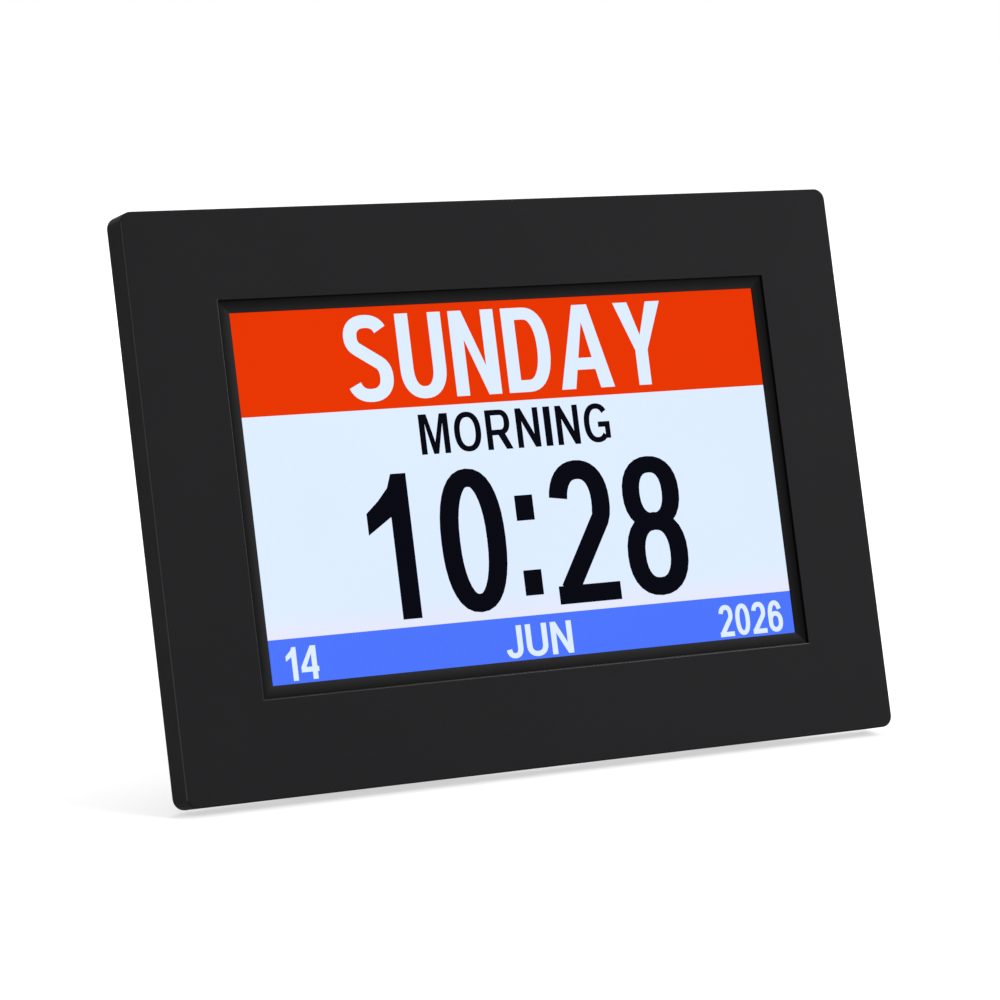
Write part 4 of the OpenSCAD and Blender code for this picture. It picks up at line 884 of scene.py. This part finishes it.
# %% Set the words
def word(text, left, right, top, height, upright, bar_t, space=0.1):
    """The shapes of a word between two sides, its letters squeezed to fit."""
    gaps = space * (len(text) - 1)
    squeeze = ((right - left) / height - gaps) / sum(WIDTHS[sign] for sign in text)
    shapes, x = [], left
    for sign in text:
        w = WIDTHS[sign] * squeeze
        if sign == "I":
            w = max(upright, w)
        for shape in letter(sign, w, upright, bar_t):
            shapes.append([(x + px * height, top + (1 - py) * height) for px, py in shape])
        x += (w + space) * height
    return shapes


day = word("SUNDAY", 30.0, 123.5, 2.0, 21.75, 0.172, 0.142)
part_of_day = word("MORNING", 48.5, 104.0, 27.75, 10.15, 0.162, 0.138, space=0.15)
sheet_of_light("picture_day", day, WORD_DEPTH, lit_white)
sheet_of_light("picture_part_of_day", part_of_day, WORD_DEPTH, lit_black)

# %% Set the time and the date
TIME_TOP, TIME_H, TIME_PEN = 42.1, 36.4, (0.148, 0.128)
DATE_TOP, DATE_H = 82.6, 8.25
COLON_LEFT, COLON_RIGHT, COLON_TOPS, DOT_H = 73.25, 78.5, (49.9, 69.0), 6.45
time = []
for sign, left, right in (("1", 30.9, 43.1), ("0", 50.9, 69.4), ("2", 83.0, 101.3),
                          ("8", 104.6, 122.8)):
    time += word(sign, left, right, TIME_TOP, TIME_H, *TIME_PEN)
for top in COLON_TOPS:
    time += bar(COLON_LEFT, top, COLON_RIGHT, top + DOT_H)
date = []
for text, left, right, upright, bar_t, space in (("14", 4.25, 13.0, 0.17, 0.15, 0.12),
                                                 ("JUN", 65.75, 85.25, 0.19, 0.16, 0.13),
                                                 ("2026", 129.6, 149.25, 0.16, 0.15, 0.085)):
    date += word(text, left, right, DATE_TOP, DATE_H, upright, bar_t, space)
sheet_of_light("picture_time", time, WORD_DEPTH, lit_black)
sheet_of_light("picture_date", date, WORD_DEPTH, lit_white)

# %% [markdown]
# ## The back: marks and label
# The six keys are told apart by small printed marks: three bars, four arrows, and a ring with a
# stroke. Pad printing leaves a thin even film, so each mark is a sheet a few hundredths of a
# millimetre thick on its cap, and moves with it. The label in its shallow field is a rounded
# sheet of silvery film with a printed frame, and is left blank. All are drawn as seen from behind.

# %% Print on the back
mark_paint = finish("mark_paint", (206, 207, 209), (190, 191, 194), 0.55, scale=3200,
                    smudge=0.05, cloud=400)
KEY_X, KEY_BACK = -72.0, 20.2
KEY_Z = dict(zip(KEYS, (32.0, 19.0, 6.0, -7.0, -20.0, -33.0)))
MARK_THICK, MARK_PEN = 0.03, 0.42               # mm
SUNK = 0.01                     # mm that a print goes into what carries it, so no gap shows


def on_back(x, y, z):
    """Drawing right and up as seen from behind, round a middle on the back."""
    return lambda right, up: (x - right, y, z + up)


def print_mark(key, shapes):
    """A printed mark on the cap of a key."""
    flat_sheet("mark_" + key, shapes, on_back(KEY_X, KEY_BACK - SUNK, KEY_Z[key]), mark_paint,
               key + "_button", thick=MARK_THICK)


arrow = [(-1.45, -0.95), (1.45, -0.95), (0.0, 1.5)]
for key in ("up", "left", "down", "right"):             # each is the one before, a quarter turn on
    print_mark(key, [arrow])
    arrow = [(-v, u) for u, v in arrow]
ring = stroke(arc(0, 0, 1.45, 1.45, 125, 415, steps=26, full=1.0), MARK_PEN, MARK_PEN)
print_mark("power", ring + bar(-MARK_PEN / 2, 0.3, MARK_PEN / 2, 1.85))

# %% Stick the label on
label_film = finish("label_film", (178, 180, 183), (164, 166, 170), 0.4, grain=0.05,
                    scale=2400, smudge=0.1, cloud=70, Metallic=0.35)
label_ink = finish("label_ink", (52, 53, 56), (42, 43, 46), 0.6, grain=0.05, cloud=90)
LABEL_X, LABEL_Z, LABEL_FLOOR = 54.0, -12.0, 18.7
LABEL_W, LABEL_H, LABEL_THICK = 36.4, 20.4, 0.12
INSET, FRAME_PEN, FRAME_THICK = 1.3, 0.22, 0.025        # mm, the first from the label's side


def rounded(width, height, radius):
    """A rectangle with round corners, round the middle."""
    points = []
    for sx, sy, start in ((1, 1, 0), (-1, 1, 90), (-1, -1, 180), (1, -1, 270)):
        points += arc(sx * (width / 2 - radius), sy * (height / 2 - radius), radius, radius,
                      start, start + 90, steps=6, full=1.0)
    return points


flat_sheet("label", [rounded(LABEL_W, LABEL_H, 1.2)], on_back(LABEL_X, LABEL_FLOOR, LABEL_Z),
           label_film, "case", thick=LABEL_THICK)
frame_line = rounded(LABEL_W - 2 * INSET, LABEL_H - 2 * INSET, 0.7)
flat_sheet("label_frame", stroke(frame_line + frame_line[:1], FRAME_PEN, FRAME_PEN, closed=True),
           on_back(LABEL_X, LABEL_FLOOR + LABEL_THICK - SUNK, LABEL_Z), label_ink, "case",
           thick=FRAME_THICK)

# %% [markdown]
# ## What repeats
# The bars of a mark, the grip ribs in the leg's finger scoop and the leads of the chips are each
# one small shape and a row of points for its copies. A Geometry Nodes tree holds just that, with
# its sizes as named inputs, so one tree serves rows of any length. It ends in Realize Instances and
# Set Material. The result is then taken off as a plain mesh, which can be put in its place.

# %% Grow a mesh from a tree
def new_tree(name, sizes):
    """A Geometry Nodes tree with named sizes in millimetres, counts and a finish."""
    tree = bpy.data.node_groups.new(name, "GeometryNodeTree")
    tree.interface.new_socket("Geometry", in_out="OUTPUT", socket_type="NodeSocketGeometry")
    for title, value in sizes.items():
        kind = "NodeSocketInt" if isinstance(value, int) else "NodeSocketFloat"
        tree.interface.new_socket(title, in_out="INPUT", socket_type=kind).default_value = value
    tree.interface.new_socket("Finish", in_out="INPUT", socket_type="NodeSocketMaterial")
    return tree, tree.nodes.new("NodeGroupInput").outputs


def made_by(tree, kind, **inputs):
    """What a new node makes. Input names are written with _ for a space."""
    return node_in(tree, kind, {title.replace("_", " "): value
                                for title, value in inputs.items()}).outputs[0]


def put_copies(tree, points, shape, coat):
    """Ends a tree: a copy of the shape on every point, made real and given the finish."""
    spread = made_by(tree, "GeometryNodeInstanceOnPoints", Points=points, Instance=shape)
    real = made_by(tree, "GeometryNodeRealizeInstances", Geometry=spread)
    coated = made_by(tree, "GeometryNodeSetMaterial", Geometry=real, Material=coat)
    node_in(tree, "NodeGroupOutput", {"Geometry": coated})


def row_of_points(tree, count, step):
    """Points a step apart along Y, with their middle at zero."""
    calc = maths(tree)
    start = calc("MULTIPLY", calc("MULTIPLY", calc("SUBTRACT", count, 1.0), step), -0.5)
    return made_by(tree, "GeometryNodeMeshLine", Count=count,
                   Start_Location=made_by(tree, "ShaderNodeCombineXYZ", Y=start),
                   Offset=made_by(tree, "ShaderNodeCombineXYZ", Y=step))


def grown(tree, material, **sizes):
    """The plain mesh that a tree makes, its sizes set before it is first worked out."""
    seed = linked("seed", bpy.data.meshes.new("seed"))
    maker = seed.modifiers.new("maker", "NODES")
    maker.node_group = tree
    sockets = {item.name: item.identifier for item in tree.interface.items_tree
               if item.in_out == "INPUT"}
    for title, value in sizes.items():
        maker[sockets[title]] = value
    maker[sockets["Finish"]] = material
    worked_out = seed.evaluated_get(bpy.context.evaluated_depsgraph_get())
    mesh = bpy.data.meshes.new_from_object(worked_out)
    seed.modifiers.remove(maker)
    bpy.data.objects.remove(seed)
    used = [mesh.materials[face.material_index] for face in mesh.polygons]
    assert all(m is not None and m.name == material.name for m in used), tree.name
    mesh.materials.clear()
    mesh.materials.append(material)
    mesh.polygons.foreach_set("material_index", [0] * len(mesh.polygons))
    return mesh


def assembled(name, parts, body):
    """One piece from plain meshes, each with its place."""
    whole = bmesh.new()
    for mesh, place in parts:
        mesh.transform(place)
        whole.from_mesh(mesh)
    bmesh.ops.recalc_face_normals(whole, faces=whole.faces)
    result = bpy.data.meshes.new(name)
    whole.to_mesh(result)
    whole.free()
    add_piece(name, result, parts[0][0].materials[0], body)
    print(name + ":", len(result.polygons), "faces")


def place_of(across, along, out, at):
    """The matrix that takes X, Y and Z to three directions, and zero to a place."""
    return Matrix.Translation(at) @ Matrix((across, along, out)).transposed().to_4x4()


RIGHT, BACK, UPWARD = (Vector(v) for v in ((1, 0, 0), (0, 1, 0), (0, 0, 1)))
print("directions on the case:", RIGHT[:], BACK[:], UPWARD[:])

# %% Bars of the mark and lines of the label
bars, given = new_tree("bar_rows", {"Bars": 3, "Step": 1.0, "Length": 3.0, "Height": MARK_PEN,
                                    "Thickness": MARK_THICK})
block = made_by(bars, "GeometryNodeMeshCube", Size=made_by(
    bars, "ShaderNodeCombineXYZ", X=given["Length"], Y=given["Height"], Z=given["Thickness"]))
put_copies(bars, row_of_points(bars, given["Bars"], given["Step"]), block, given["Finish"])


def bars_on_back(x, y, z):
    """The place of a row of bars on the back, as seen from behind."""
    return CASE @ place_of(-RIGHT, UPWARD, BACK, Vector((x, y, z)))


assembled("mark_menu",
          [(grown(bars, mark_paint), bars_on_back(KEY_X, KEY_BACK, KEY_Z["menu"]))],
          "menu_button")
assembled("label_lines",
          [(grown(bars, label_ink, Bars=4, Step=3.5, Length=29.0, Height=0.18),
            bars_on_back(LABEL_X, LABEL_FLOOR + LABEL_THICK, LABEL_Z))],
          "case")

# %% Ribs of the leg's finger scoop
fan, given = new_tree("rib_fan", {"Ribs": 5, "Hollow radius": 9.1, "Spread": 0.64,
                                  "Length": 14.8, "Rib radius": 0.42})
calc = maths(fan)
curve = made_by(fan, "GeometryNodeCurveArc", Resolution=given["Ribs"],
                Radius=given["Hollow radius"], Sweep_Angle=given["Spread"],
                Start_Angle=calc("MULTIPLY", given["Spread"], -0.5))
low_end, high_end = (made_by(fan, "ShaderNodeCombineXYZ", Z=calc("MULTIPLY", given["Length"], end))
                     for end in (-0.5, 0.5))
spine = made_by(fan, "GeometryNodeCurvePrimitiveLine", Start=low_end, End=high_end)
outline = made_by(fan, "GeometryNodeCurvePrimitiveCircle", Resolution=14,
                  Radius=given["Rib radius"])
rib = made_by(fan, "GeometryNodeCurveToMesh", Curve=spine, Profile_Curve=outline, Fill_Caps=True)
put_copies(fan, curve, rib, given["Finish"])


def middle_of(name):
    """The middle of a solid node on the case, in millimetres."""
    low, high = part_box(name)
    return CASE_BACK @ ((low + high) / 2)


hinge, foot = middle_of("hinge_pin"), middle_of("foot_bar")
BAR_OFFSET, LEG_FACE, SCOOP_RADIUS, SCOOP_DEPTH, SCOOP_UP = 0.55, 2.3, 9.0, 0.9, 12.5
reach = math.sqrt((foot - hinge).length_squared - BAR_OFFSET ** 2)
opened = math.atan2(foot.y - hinge.y, hinge.z - foot.z) - math.atan2(BAR_OFFSET, reach)
LEG = CASE @ Matrix.Translation(hinge) @ Matrix.Rotation(opened, 4, "X")
scoop = Vector((0, LEG_FACE + SCOOP_RADIUS - SCOOP_DEPTH, SCOOP_UP - reach))
assembled("leg_grip", [(grown(fan, leg_black), LEG @ place_of(-BACK, UPWARD, -RIGHT, scoop))],
          "leg")
print("leg opens", round(math.degrees(opened), 2), "degrees, reach", round(reach, 2), "mm")

# %% Leads of the chips
leads, given = new_tree("lead_row", {"Leads": 12, "Pitch": 1.0, "Reach": 1.1, "Drop": 0.6,
                                     "Width": 0.42, "Thickness": 0.16})
calc = maths(leads)
foot_height = calc("MULTIPLY", given["Thickness"], 0.5)
corners = {title: made_by(leads, "ShaderNodeCombineXYZ",
                          X=calc("MULTIPLY", given["Reach"], share), Z=height)
           for title, share, height in (("Start", 0.0, given["Drop"]),
                                        ("Start_Handle", 0.75, given["Drop"]),
                                        ("End_Handle", 0.1, foot_height),
                                        ("End", 1.0, foot_height))}
bend = made_by(leads, "GeometryNodeCurvePrimitiveBezierSegment", Resolution=7, **corners)
flat_bar = made_by(leads, "GeometryNodeCurvePrimitiveQuadrilateral", Width=given["Width"],
                   Height=given["Thickness"])
lead = made_by(leads, "GeometryNodeCurveToMesh", Curve=bend, Profile_Curve=flat_bar,
               Fill_Caps=True)
put_copies(leads, row_of_points(leads, given["Leads"], given["Pitch"]), lead, given["Finish"])
tinned = finish("tinned_leads", (208, 209, 212), (182, 183, 187), 0.34, grain=0.06, scale=4000,
                smudge=0.1, cloud=400, Metallic=1.0)

# %% Solder the leads to the chips
ROOTED, TO_BOARD = 0.05, 0.6    # mm a lead starts inside its chip, and from the chip's middle down
TO_MEMORY, TO_REGULATOR = -15 * UPWARD, 10 * RIGHT + 22 * UPWARD


def leads_along(middle, outward, half, **sizes):
    """A row of leads on one side of a chip, whose middle is given on the board's plane."""
    start = middle + outward * (half - ROOTED)
    return grown(leads, tinned, **sizes), CASE @ place_of(outward, BACK.cross(outward), BACK, start)


processor = middle_of("processor") - TO_BOARD * BACK
rows = [leads_along(processor, way, 7.0) for way in (RIGHT, -RIGHT, UPWARD, -UPWARD)]
rows += [leads_along(processor + TO_MEMORY, way, 2.6, Leads=4, Pitch=1.8, Drop=0.8)
         for way in (UPWARD, -UPWARD)]
rows.append(leads_along(processor + TO_REGULATOR, UPWARD, 1.75, Leads=3, Pitch=2.3, Drop=0.8,
                        Width=0.7, Reach=1.6))
assembled("chip_leads", rows, "case")
